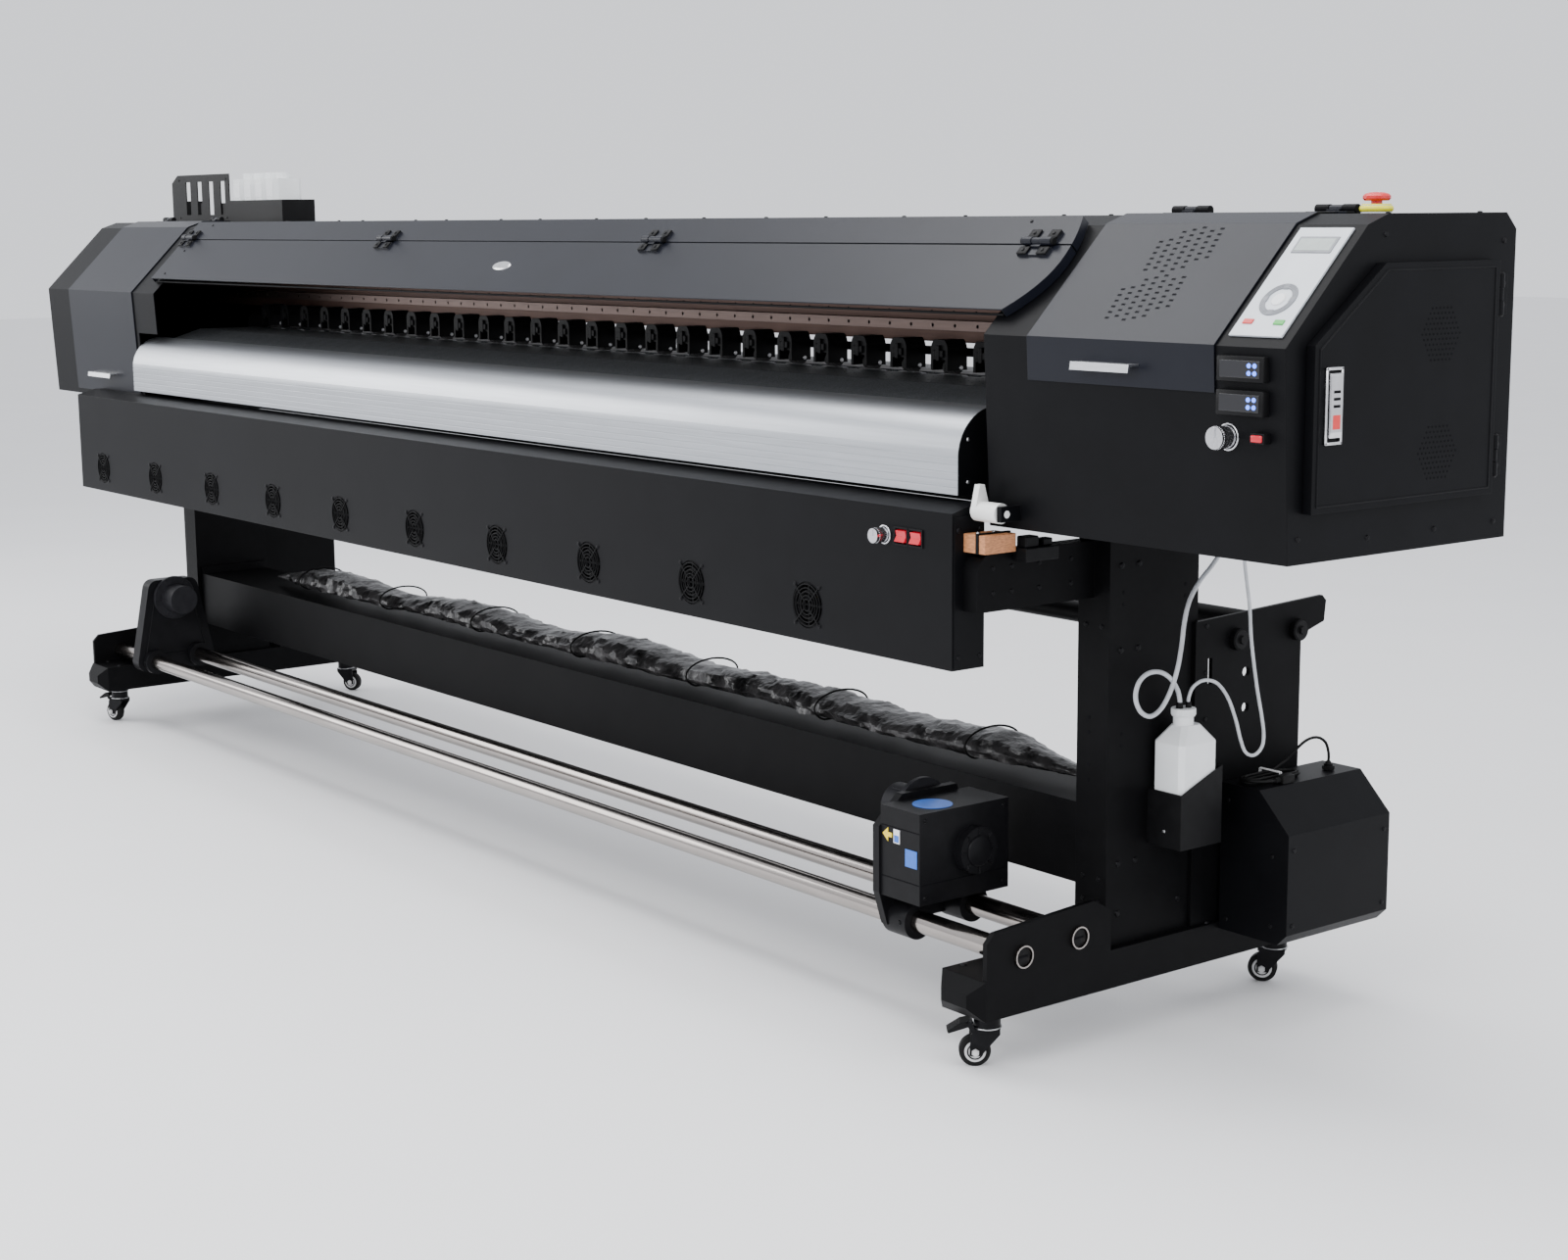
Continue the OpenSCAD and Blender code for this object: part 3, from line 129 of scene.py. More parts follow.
def finish(name, colour, rough, metallic=0.0, tint=None, grain=60.0, spread=0.35, rough_spread=0.08,
           bump=0.0, bump_scale=900.0, stretch=(1, 1, 1), specular=0.5, coat=0.0, edge=0.0008,
           transmission=0.0):
    """A painted, metal or moulded finish: its colour and roughness vary over the piece, and its
    surface has a fine bump. stretch draws the pattern out along an axis, as brushing does."""
    material = bpy.data.materials.new(name)
    tree, shader = nodes_of(material)
    add, link = tree.nodes.new, tree.links.new
    where = add("ShaderNodeTexCoord")
    mapping = add("ShaderNodeMapping")
    mapping.inputs["Scale"].default_value = stretch
    link(where.outputs["Object"], mapping.inputs["Vector"])
    clouds = add("ShaderNodeTexNoise")
    clouds.inputs["Scale"].default_value = grain
    clouds.inputs["Detail"].default_value = 6.0
    link(mapping.outputs["Vector"], clouds.inputs["Vector"])
    ramp = add("ShaderNodeValToRGB")
    dark = [c * (1 - spread) for c in colour]
    light = tint or [min(c * (1 + spread), 1) for c in colour]
    ramp.color_ramp.elements[0].position, ramp.color_ramp.elements[1].position = 0.3, 0.7
    ramp.color_ramp.elements[0].color = (*dark, 1)
    ramp.color_ramp.elements[1].color = (*light, 1)
    link(clouds.outputs["Fac"], ramp.inputs["Fac"])
    link(ramp.outputs["Color"], shader.inputs["Base Color"])
    smudges = add("ShaderNodeTexNoise")
    smudges.inputs["Scale"].default_value = grain / 12
    smudges.inputs["Detail"].default_value = 3.0
    link(mapping.outputs["Vector"], smudges.inputs["Vector"])
    levels = add("ShaderNodeMapRange")
    levels.inputs["To Min"].default_value = rough - rough_spread
    levels.inputs["To Max"].default_value = rough + rough_spread
    link(smudges.outputs["Fac"], levels.inputs["Value"])
    link(levels.outputs["Result"], shader.inputs["Roughness"])
    shader.inputs["Metallic"].default_value = metallic
    shader.inputs["Specular IOR Level"].default_value = specular
    shader.inputs["Coat Weight"].default_value = coat
    shader.inputs["Transmission Weight"].default_value = transmission
    soft_edge = add("ShaderNodeBevel")
    soft_edge.samples = 4
    soft_edge.inputs["Radius"].default_value = edge
    if bump:
        pimples = add("ShaderNodeTexNoise")
        pimples.inputs["Scale"].default_value = bump_scale
        pimples.inputs["Detail"].default_value = 2.0
        link(mapping.outputs["Vector"], pimples.inputs["Vector"])
        height = add("ShaderNodeBump")
        height.inputs["Strength"].default_value = bump
        height.inputs["Distance"].default_value = 0.0006
        link(pimples.outputs["Fac"], height.inputs["Height"])
        link(soft_edge.outputs["Normal"], height.inputs["Normal"])
        link(height.outputs["Normal"], shader.inputs["Normal"])
    else:
        link(soft_edge.outputs["Normal"], shader.inputs["Normal"])
    return material


def lit(material, colour, strength):
    """Makes a finish glow, for lamps and displays."""
    shader = material.node_tree.nodes["Principled BSDF"]
    shader.inputs["Emission Color"].default_value = (*colour, 1)
    shader.inputs["Emission Strength"].default_value = strength
    return material


def make_finishes():
    """Every finish of the printer, by the name of its slot in the record or of its detail."""
    c = bpy.context.scene.printer_colours
    m = {}

    def add(name, *look, **detail):
        m[name] = finish(name, *look, **detail)

    add("cover_black", c.cover, 0.34, grain=9, spread=0.12, bump=0.12, bump_scale=1500, specular=0.2,
        edge=0.0012)
    add("body_black", c.cabinet, 0.42, grain=14, spread=0.15, bump=0.2, bump_scale=1300, specular=0.08,
        edge=0.0012)
    add("frame_black", c.stand, 0.5, grain=25, spread=0.2, bump=0.35, bump_scale=900, specular=0.07,
        edge=0.001)
    add("guide_silver", c.guide, 0.36, metallic=1.0, grain=220, spread=0.06, rough_spread=0.02,
        stretch=(0.03, 1, 1), bump=0.06, bump_scale=700)
    add("platen_dark", (0.07, 0.075, 0.08), 0.45, metallic=0.6, grain=420, spread=0.85, bump=0.1)
    # tube colour darkened and warmed: painted reflection of dark, reddish surroundings, not the metal's own tone
    add("tube_chrome", (0.36, 0.33, 0.31), 0.16, metallic=1.0, grain=90, spread=0.1, rough_spread=0.07,
        stretch=(0.06, 1, 1))
    add("rail_steel", (0.17, 0.125, 0.11), 0.38, metallic=1.0, grain=200, spread=0.12, stretch=(0.05, 1, 1))
    add("beam_bronze", (0.12, 0.07, 0.055), 0.42, metallic=0.7, grain=160, spread=0.15,
        stretch=(0.04, 1, 1))
    add("shaft_steel", (0.5, 0.5, 0.52), 0.35, metallic=1.0, grain=500, spread=0.2, bump=0.3,
        bump_scale=1600)
    add("pinch_black", (0.0054, 0.0054, 0.00585), 0.4, grain=80, spread=0.2, bump=0.1, specular=0.1)
    add("pinch_rubber", (0.03, 0.03, 0.03), 0.7, grain=200, spread=0.2, bump=0.2)
    add("lever_white", (0.82, 0.82, 0.8), 0.4, grain=30, spread=0.04, bump=0.05)
    add("carriage_grey", (0.018, 0.018, 0.02025), 0.4, grain=30, spread=0.15, bump=0.15, specular=0.1)
    add("caster_steel", (0.0072, 0.0072, 0.0081), 0.35, metallic=0.3, grain=60, spread=0.25, specular=0.1)
    add("wheel_black", (0.0081, 0.0081, 0.0081), 0.6, grain=120, spread=0.3, bump=0.15, specular=0.1)
    add("pedal_black", (0.00585, 0.00585, 0.0063), 0.45, grain=80, spread=0.2, bump=0.1, specular=0.1)
    add("fan_black", (0.00405, 0.00405, 0.0045), 0.55, grain=90, spread=0.2, specular=0.1)
    add("knob_silver", (0.7, 0.7, 0.72), 0.22, metallic=1.0, grain=300, spread=0.08)
    add("rocker_red", c.rocker, 0.25, grain=40, spread=0.1)
    lit(m["rocker_red"], (0.6, 0.01, 0.03), 0.25)
    add("handle_silver", (0.75, 0.76, 0.78), 0.3, metallic=1.0, grain=250, spread=0.06, stretch=(0.1, 1, 1))
    add("latch_chrome", (0.7, 0.7, 0.71), 0.18, metallic=1.0, grain=80, spread=0.08)
    add("board_green", (0.03, 0.09, 0.05), 0.45, grain=160, spread=0.4, bump=0.1)
    add("panel_white", (0.55, 0.58, 0.62), 0.3, grain=20, spread=0.05)
    add("stop_red", (0.65, 0.012, 0.015), 0.25, grain=30, spread=0.1)
    add("rack_black", (0.0045, 0.0045, 0.00495), 0.42, grain=40, spread=0.2, bump=0.2, specular=0.1)
    add("bottle_white", (0.85, 0.87, 0.88), 0.35, grain=18, spread=0.04, bump=0.08, bump_scale=120,
        transmission=0.15)
    add("hose_grey", c.hose, 0.32, grain=40, spread=0.12, transmission=0.2)
    add("cable_black", (0.0054, 0.0054, 0.0054), 0.5, grain=150, spread=0.25, bump=0.1, specular=0.1)
    add("takeup_black", (0.0054, 0.0054, 0.0063), 0.38, grain=40, spread=0.2, bump=0.2, specular=0.1)
    add("flange_grey", (0.01575, 0.01575, 0.018), 0.45, grain=60, spread=0.2, bump=0.1, specular=0.1)
    add("insulating_brown", c.brown, 0.5, grain=130, spread=0.3, stretch=(1, 1, 4), bump=0.2)
    # near-black: painted shade inside holes, slots, grooves and openings, and the dark of panel seams
    add("slot_dark", (0.002, 0.002, 0.003), 0.8, grain=50, spread=0.3, specular=0.1)
    add("seal_black", (0.0036, 0.0036, 0.00405), 0.65, grain=90, spread=0.3, bump=0.2, specular=0.1)
    add("screw_steel", (0.45, 0.45, 0.46), 0.3, metallic=1.0, grain=200, spread=0.15)
    add("screw_black", (0.009, 0.009, 0.0099), 0.35, metallic=0.5, grain=200, spread=0.2, specular=0.1)
    add("hub_white", (0.6, 0.6, 0.6), 0.4, grain=60, spread=0.1)
    add("lcd_grey", (0.28, 0.32, 0.31), 0.15, grain=60, spread=0.06)
    add("key_grey", (0.2, 0.21, 0.23), 0.4, grain=60, spread=0.1)
    add("key_red", (0.6, 0.03, 0.03), 0.35, grain=60, spread=0.1)
    add("key_green", (0.04, 0.4, 0.06), 0.35, grain=60, spread=0.1)
    add("dot_blue", (0.05, 0.12, 0.9), 0.3, grain=60, spread=0.1)
    lit(m["dot_blue"], (0.1, 0.25, 1.0), 3.0)
    add("glass_dark", (0.004, 0.004, 0.006), 0.08, grain=20, spread=0.2, coat=0.5)
    add("label_blue", (0.02, 0.13, 0.55), 0.3, grain=60, spread=0.12)
    add("label_white", (0.75, 0.76, 0.78), 0.35, grain=60, spread=0.05)
    add("label_yellow", (0.85, 0.62, 0.02), 0.35, grain=60, spread=0.08)
    add("ring_yellow", (0.75, 0.7, 0.02), 0.35, grain=60, spread=0.08)
    add("belt_black", (0.02, 0.02, 0.02), 0.6, grain=300, spread=0.3)
    add("strip_clear", (0.5, 0.5, 0.48), 0.12, grain=20, spread=0.08)
    m["film_dark"] = film_finish()
    return m


def film_finish():
    """Crumpled stretch film over a dark loom: glossy, with pale creases."""
    material = finish("film_dark", (0.006, 0.0055, 0.0055), 0.3, grain=22, spread=0.7, coat=0.12,
                      tint=(0.045, 0.043, 0.044), bump=1.0, bump_scale=55, specular=0.3)
    height = next(n for n in material.node_tree.nodes if n.type == "BUMP")
    height.inputs["Distance"].default_value = 0.004
    return material


# ---------------------------------------------------------------- modelling helpers

FINISH = {}


def piece(name, bm, body, finish_name, smooth=False):
    """Turns a bmesh into a finished piece that moves with a body."""
    bmesh.ops.recalc_face_normals(bm, faces=bm.faces)
    mesh = bpy.data.meshes.new(name)
    bm.to_mesh(mesh)
    bm.free()
    obj = bpy.data.objects.new(name, mesh)
    bpy.context.scene.collection.objects.link(obj)
    mesh.materials.append(FINISH[finish_name])
    if smooth:
        mesh.shade_smooth()
        mesh.set_sharp_from_angle(angle=math.radians(40))
    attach(obj, body)
    return obj


def add_box(bm, lo, hi, bevel=0.0, turn=None, segments=2):
    """A block between two corners, with its edges rounded; turn is applied to it afterwards."""
    lo, hi = Vector(lo), Vector(hi)
    place = Matrix.Translation((lo + hi) / 2) @ Matrix.Diagonal((*(hi - lo), 1))
    made = bmesh.ops.create_cube(bm, size=1.0, matrix=place)["verts"]
    if bevel:
        edges = list({e for v in made for e in v.link_edges})
        made = bmesh.ops.bevel(bm, geom=edges, offset=bevel, segments=segments, affect="EDGES",
                               profile=0.5, material=-1)["verts"]
        made = list({v for v in made} | {v for e in edges if e.is_valid for v in e.verts})
    if turn is not None:
        bmesh.ops.transform(bm, matrix=turn, verts=made)
    return made


def add_rod(bm, start, end, radius, radius_end=None, sides=24, bevel=0.0):
    """A round bar, or a cone, from start to end."""
    start, end = Vector(start), Vector(end)
    along = end - start
    place = Matrix.Translation((start + end) / 2) @ along.to_track_quat("Z", "Y").to_matrix().to_4x4()
    made = bmesh.ops.create_cone(bm, cap_ends=True, segments=sides, radius1=radius,
                                 radius2=radius if radius_end is None else radius_end,
                                 depth=along.length, matrix=place)["verts"]
    if bevel:
        rims = [e for e in {e for v in made for e in v.link_edges}
                if any(len(f.verts) > 4 for f in e.link_faces)]
        made = bmesh.ops.bevel(bm, geom=rims, offset=bevel, segments=2, affect="EDGES",
                               profile=0.5, material=-1)["verts"]
    return made


def add_ring(bm, centre, axis, radius, wire, sides=40, wire_sides=8):
    """A round wire ring about an axis."""
    axis = Vector(axis).normalized()
    turn = axis.to_track_quat("Z", "Y").to_matrix().to_4x4()
    place = Matrix.Translation(Vector(centre)) @ turn
    circle = bmesh.ops.create_circle(bm, segments=wire_sides, radius=wire)["verts"]
    stand = Matrix.Translation((radius, 0, 0)) @ Matrix.Rotation(math.pi / 2, 4, "X")
    bmesh.ops.transform(bm, matrix=place @ stand, verts=circle)
    edges = list({e for v in circle for e in v.link_edges})
    bmesh.ops.spin(bm, geom=circle + edges, cent=Vector(centre), axis=axis, angle=math.tau, steps=sides,
                   use_merge=True, use_duplicate=False)


def add_screw(bm, at, axis, radius):
    """A button-head screw with a hexagon socket, seated at a point."""
    at, axis = Vector(at), Vector(axis).normalized()
    add_rod(bm, at - axis * radius * 0.1, at + axis * radius * 0.45, radius, radius * 0.72, sides=16)
    add_rod(bm, at + axis * radius * 0.44, at + axis * radius * 0.5, radius * 0.4, sides=6)


def on_slope(x, u, v=0.0):
    """A point on the covers' slope: x along the body, u up the slope from the nose, v out of it."""
    return SLOPE @ Vector((x, u, v))


def front_y(z):
    """Front face of the body at height z."""
    return FRONT_LOW - FRONT_LEAN * (z - BODY_Z) / FRONT_HEIGHT


def start():
    """An empty bmesh."""
    return bmesh.new()


def screws(name, body, places, axis, radius=None, finish_name="screw_black"):
    """A set of like screws, each seated at one of the places."""
    bm = start()
    radius = radius or bpy.context.scene.printer_sizes.screw
    for at in places:
        add_screw(bm, at, axis, radius)
    return piece(name, bm, body, finish_name)


def knob_detail(node, knob, count, radius, depths, bar, seat_y, seat_radius, seat_sides):
    """The knurl of a knob that turns about Y, and the ring it sits in."""
    bm = start()
    for k in range(count):
        a = math.tau * k / count
        at = Vector((knob.x + radius * math.cos(a), 0, knob.z + radius * math.sin(a)))
        add_rod(bm, at + Y * (LO[node].y + depths[0]), at + Y * (LO[node].y + depths[1]), bar, sides=6)
    piece(f"{node}_knurl", bm, node, "knob_silver", smooth=True)
    bm = start()
    add_ring(bm, (knob.x, seat_y, knob.z), Y, seat_radius, 0.0014, sides=seat_sides)
    piece(f"{node}_seat", bm, "root", "knob_silver", smooth=True)


def add_cap_ribs(bm, top, count, radius, low, high):
    """Upright ribs round a bottle cap, between two depths under its top."""
    for k in range(count):
        a = math.tau * k / count
        at = top + Vector((radius * math.cos(a), radius * math.sin(a), 0))
        add_rod(bm, at - Z * low, at - Z * high, 0.0008, sides=6)


def smooth_route(points, steps):
    """A smooth line through the points, with so many steps from one point to the next."""
    route = []
    for i in range(len(points) - 1):
        a, b, c, d = (Vector(points[min(max(k, 0), len(points) - 1)]) for k in (i - 1, i, i + 1, i + 2))
        for k in range(steps):
            t = k / steps
            route.append(0.5 * (2 * b + t * (c - a) + t * t * (2 * a - 5 * b + 4 * c - d)
                                + t ** 3 * (3 * b - a - 3 * c + d)))
    return route + [Vector(points[-1])]


def cord_curve(name, route, diameter, finish_name):
    """A round cord as a curve of one spline along a route."""
    curve = bpy.data.curves.new(name, "CURVE")
    curve.dimensions = "3D"
    spline = curve.splines.new("POLY")
    spline.points.add(len(route) - 1)
    for point, at in zip(spline.points, route):
        point.co = (*at, 1)
    curve.bevel_depth = diameter / 2
    curve.bevel_resolution = 3
    curve.use_fill_caps = True
    obj = bpy.data.objects.new(name, curve)
    bpy.context.scene.collection.objects.link(obj)
    curve.materials.append(FINISH[finish_name])
    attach(obj, "root")
    return obj


# ---------------------------------------------------------------- camera and cords


class PRINTER_OT_stage(bpy.types.Operator):
    """Sets the camera, the pale floor and the soft studio light"""

    bl_idname = "printer.stage"
    bl_label = "Stage"

    def execute(self, context):
        scene = context.scene
        turn, dip, roll = math.radians(52.54), math.radians(9.682), math.radians(-0.494)
        ahead = Vector((-math.sin(turn) * math.cos(dip), math.cos(turn) * math.cos(dip), -math.sin(dip)))
        right = ahead.cross(Z).normalized()
        upward = right.cross(ahead)
        across = math.cos(roll) * right + math.sin(roll) * upward
        over = -math.sin(roll) * right + math.cos(roll) * upward
        camera_data = bpy.data.cameras.new("camera")
        camera_data.lens = 55.77
        camera_data.sensor_width = 36.0
        camera_data.clip_start, camera_data.clip_end = 0.05, 60.0
        camera = bpy.data.objects.new("camera", camera_data)
        place = Matrix((across, over, -ahead)).transposed().to_4x4()
        place.translation = (4.4843, -2.9022, 1.365)
        camera.matrix_world = place
        scene.collection.objects.link(camera)
        scene.camera = camera

        bm = start()
        bmesh.ops.create_grid(bm, x_segments=1, y_segments=1, size=30.0)
        mesh = bpy.data.meshes.new("floor")
        bm.to_mesh(mesh)
        bm.free()
        floor = bpy.data.objects.new("floor", mesh)
        scene.collection.objects.link(floor)
        mesh.materials.append(finish("floor_pale", (0.86, 0.86, 0.87), 0.6, grain=2, spread=0.01,
                                     specular=0.2))

        world = bpy.data.worlds.new("studio")
        scene.world = world
        world.use_nodes = True
        background = world.node_tree.nodes["Background"]
        background.inputs["Color"].default_value = (0.93, 0.95, 1.0, 1)
        background.inputs["Strength"].default_value = 1.25

        for name, at, aim, size, power in (
                ("top_light", (0.3, -0.6, 4.6), (0.2, 0.1, 0.8), (6.0, 2.6), 230),
                ("front_light", (2.2, -4.4, 3.1), (0.3, 0, 0.9), (4.0, 2.4), 150),
                ("side_light", (5.2, 0.6, 2.6), (1.8, 0, 0.9), (2.4, 2.4), 60),
                ("left_light", (-4.6, -2.6, 2.4), (-1.0, 0, 0.9), (2.4, 2.4), 90)):
            lamp = bpy.data.lights.new(name, "AREA")
            lamp.shape = "RECTANGLE"
            lamp.size, lamp.size_y = size
            lamp.energy = power
            obj = bpy.data.objects.new(name, lamp)
            obj.location = at
            obj.rotation_euler = (Vector(aim) - Vector(at)).to_track_quat("-Z", "Y").to_euler()
            scene.collection.objects.link(obj)
        return {"FINISHED"}


HOSE_A = [(1.765, 0.112, 0.871), (1.765, 0.112, 0.850), (1.764, 0.102, 0.820), (1.763, 0.077, 0.792),
          (1.762, 0.046, 0.765), (1.761, 0.024, 0.735), (1.760, 0.014, 0.700), (1.760, 0.009, 0.665),
          (1.760, 0.000, 0.625), (1.759, -0.015, 0.588), (1.758, -0.036, 0.561), (1.757, -0.060, 0.552),
          (1.756, -0.082, 0.564), (1.755, -0.092, 0.588), (1.755, -0.084, 0.612), (1.755, -0.062, 0.624),
          (1.755, -0.034, 0.622), (1.755, -0.010, 0.608), (1.755, 0.006, 0.588), (1.755, 0.012, 0.570),
          (1.755, 0.012, 0.556)]
HOSE_B = [(1.800, 0.108, 0.871), (1.800, 0.108, 0.850), (1.800, 0.110, 0.810), (1.800, 0.118, 0.765),
          (1.800, 0.127, 0.720), (1.800, 0.132, 0.670), (1.801, 0.140, 0.620), (1.802, 0.149, 0.575),
          (1.803, 0.160, 0.530), (1.803, 0.166, 0.498), (1.801, 0.164, 0.476), (1.797, 0.150, 0.464),
          (1.793, 0.134, 0.470), (1.790, 0.124, 0.492), (1.786, 0.114, 0.530), (1.782, 0.098, 0.568),
          (1.777, 0.076, 0.594), (1.770, 0.052, 0.600), (1.763, 0.035, 0.590), (1.760, 0.028, 0.572),
          (1.760, 0.028, 0.556)]
LEAD = [(1.790, 0.350, 0.420), (1.790, 0.350, 0.438), (1.788, 0.343, 0.458), (1.783, 0.326, 0.468),
        (1.777, 0.305, 0.464), (1.770, 0.285, 0.448), (1.765, 0.270, 0.433), (1.7635, 0.256, 0.427)]
TAIL = [(1.792, 0.1535, 0.4172), (1.803, 0.166, 0.4165), (1.8075, 0.180, 0.4158), (1.808, 0.191, 0.4155)]
HANK = Vector((1.777, 0.215, 0.408))
HANK_HALF = 0.045
HANK_END = 0.021


def racetrack(lane, turn):
    """A point on an oval with round ends of radius lane, at so many turns from its left far corner."""
    run, arc = 2 * HANK_HALF, math.pi * lane
    s = (turn % 1.0) * 2 * (run + arc)
    if s < run:
        return Vector((-lane, HANK_HALF - s, 0))
    if s < run + arc:
        angle = (s - run) / lane
        return Vector((-lane * math.cos(angle), -HANK_HALF - lane * math.sin(angle), 0))
    if s < 2 * run + arc:
        return Vector((lane, s - run - arc - HANK_HALF, 0))
    angle = (s - 2 * run - arc) / lane
    return Vector((lane * math.cos(angle), HANK_HALF + lane * math.sin(angle), 0))


def hank_route(diameter):
    """The lead from its gland to the hank, down the inner turns, up the outer ones and out to the plug."""
    radius = diameter / 2
    inner = HANK_END - radius - diameter
    steps = 24
    route = [Vector(p) for p in LEAD]
    for k in range(2, 2 * steps + 1):
        turn = k / steps
        lane = inner + diameter * max(0.0, (turn - 1.75) / 0.25)
        route.append(HANK + racetrack(lane, turn) + Z * (radius + diameter * (2 - turn)))
    for k in range(1, round(1.4 * steps)):
        turn = k / steps
        route.append(HANK + racetrack(inner + diameter, turn) + Z * (radius + diameter * turn))
    return route + [Vector(p) for p in TAIL]


class PRINTER_OT_cords(bpy.types.Operator):
    """Makes the two hoses and the tied lead with its plug"""

    bl_idname = "printer.cords"
    bl_label = "Hoses and lead"

    def execute(self, context):
        sizes = context.scene.printer_sizes
        for name, points, diameter, node in (("waste_hose_tube", HOSE_A, sizes.hose_a, "waste_hose"),
                                             ("return_hose_tube", HOSE_B, sizes.hose_b, "return_hose")):
            route = smooth_route(points, 6)
            hose = cord_curve(name, route, diameter, "hose_grey")
            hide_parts(node)
        route = smooth_route(hank_route(sizes.lead), 3)
        lead = cord_curve("tied_lead", route, sizes.lead, "cable_black")
        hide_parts("aux_lead", "aux_lead_hank")

        bm = start()
        lo, hi = LO["aux_lead_plug"], HI["aux_lead_plug"]
        add_box(bm, (lo.x + 0.001, lo.y + 0.012, lo.z), (hi.x, hi.y, hi.z - 0.001), bevel=0.0025)
        middle = (lo.x + hi.x) / 2
        for k in range(4):
            add_ring(bm, (middle, lo.y + 0.0105 - 0.0026 * k, lo.z + 0.0075), Y, 0.0042, 0.0013, sides=20)
        add_rod(bm, (middle, lo.y, lo.z + 0.0075), (middle, lo.y + 0.013, lo.z + 0.0075), 0.0032, 0.0045)
        plug = piece("lead_plug", bm, "root", "cable_black", smooth=True)
        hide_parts("aux_lead_plug")
        bm = start()
        for shift in (-0.002, 0.002):
            half_w, high = 0.0225, 0.0165
            for a, b in (((-half_w, 0), (half_w, 0)), ((half_w, 0), (half_w, high)),
                         ((half_w, high), (-half_w, high)), ((-half_w, high), (-half_w, 0))):
                add_rod(bm, (HANK.x + a[0], HANK.y + shift, HANK.z + 0.0008 + a[1]),
                        (HANK.x + b[0], HANK.y + shift, HANK.z + 0.0008 + b[1]), 0.0012, sides=8)
        tie = piece("hank_tie", bm, "root", "hub_white")
        return {"FINISHED"}


# ---------------------------------------------------------------- finishes on the frame

SLOTS = {part["node"]: part["material_slot"] for part in frame["record"]["subparts"]}


class PRINTER_OT_finishes(bpy.types.Operator):
    """Gives every piece of the frame its finish"""

    bl_idname = "printer.finishes"
    bl_label = "Finishes"

    def execute(self, context):
        for node, obj in NODES.items():
            obj.data.materials.clear()
            obj.data.materials.append(FINISH[SLOTS[node]])
        return {"FINISHED"}


# ---------------------------------------------------------------- covers


def hinge_places():
    """Places of the long lid's four hinges along X."""
    span = (BOX - CAP + 0.010) / 3
    return [CAP - 0.002 + i * span for i in range(4)]


def plate_on_slope(bm, x0, x1, u0, u1, v0, v1, bevel=0.0):
    """A block on the slope, between distances along, up and out of it."""
    return add_box(bm, (x0, u0, v0), (x1, u1, v1), bevel=bevel, turn=SLOPE)


class PRINTER_OT_lid(bpy.types.Operator):
    """Hinge leaves, screws, badge and seal of the long lid"""

    bl_idname = "printer.lid"
    bl_label = "Long lid"

    def execute(self, context):
        out = 0.018
        normal = SLOPE_OUT
        leaves, fixed, upper, lower = start(), start(), [], []
        for x in hinge_places():
            for s in (-1, 1):
                plate_on_slope(leaves, x + s * 0.022 - 0.011, x + s * 0.022 + 0.011, 0.150, 0.166,
                               out + 0.003,
                               out + 0.0065, bevel=0.0015)
                plate_on_slope(fixed, x + s * 0.022 - 0.011, x + s * 0.022 + 0.011, 0.185, 0.203, out + 0.003,
                               out + 0.0065, bevel=0.0015)
                lower.append(on_slope(x + s * 0.022, 0.158, out + 0.0065))
                upper.append(on_slope(x + s * 0.022, 0.194, out + 0.0065))
            for s in (-1, 1):
                add_rod(fixed, on_slope(x + s * 0.034, 0.176, out + 0.007),
                        on_slope(x + s * 0.0365, 0.176, out + 0.007), 0.0068, 0.005, sides=20)
        piece("lid_hinge_leaves", leaves, "front_lid", "pinch_black", smooth=True)
        piece("strip_hinge_leaves", fixed, "root", "pinch_black", smooth=True)
        screws("lid_hinge_screws", "front_lid", lower, normal, 0.0038, "screw_black")
        screws("strip_hinge_screws", "root", upper, normal, 0.0038, "screw_black")

        # blank oval badge
        bm = start()
        bmesh.ops.create_uvsphere(bm, u_segments=40, v_segments=16, radius=1.0)
        bmesh.ops.scale(bm, vec=(0.034, 0.0125, 0.0035), verts=bm.verts)
        bmesh.ops.bisect_plane(bm, geom=bm.verts[:] + bm.edges[:] + bm.faces[:], plane_co=(0, 0, 0),
                               plane_no=(0, 0, 1), clear_inner=True)
        bmesh.ops.contextual_create(bm, geom=[e for e in bm.edges if e.is_boundary])
        bmesh.ops.transform(bm, matrix=SLOPE @ Matrix.Translation((0.104, 0.106, out + 0.0001)),
                            verts=bm.verts)
        piece("lid_badge", bm, "front_lid", "latch_chrome", smooth=True)

        # rubber seal along the lid's lower edge, and screws of the lid and of the fixed strip
        bm = start()
        add_rod(bm, on_slope(CAP - 0.030, 0.0385, 0.004), on_slope(BOX + 0.020, 0.0385, 0.004), 0.0022,
                sides=10)
        piece("lid_seal", bm, "front_lid", "seal_black", smooth=True)
        for name, body, places in (("lid_screws", "front_lid", [(CAP + 0.02, 0.055), (CAP + 0.02, 0.135)]),
                                   ("strip_screws", "root", [(CAP + 0.06, 0.226), (BOX - 0.05, 0.226)])):
            screws(name, body, [on_slope(x, u, out) for x, u in places], normal, 0.0034)

        # cover screws along the roof
        places = [Vector((CAP + 0.15 + i * (BOX - CAP - 0.3) / 7, y, ROOF)) for y in (-0.02, 0.128)
                  for i in range(8)]
        screws("roof_screws", "root", places, Z, None, "screw_black")
        return {"FINISHED"}


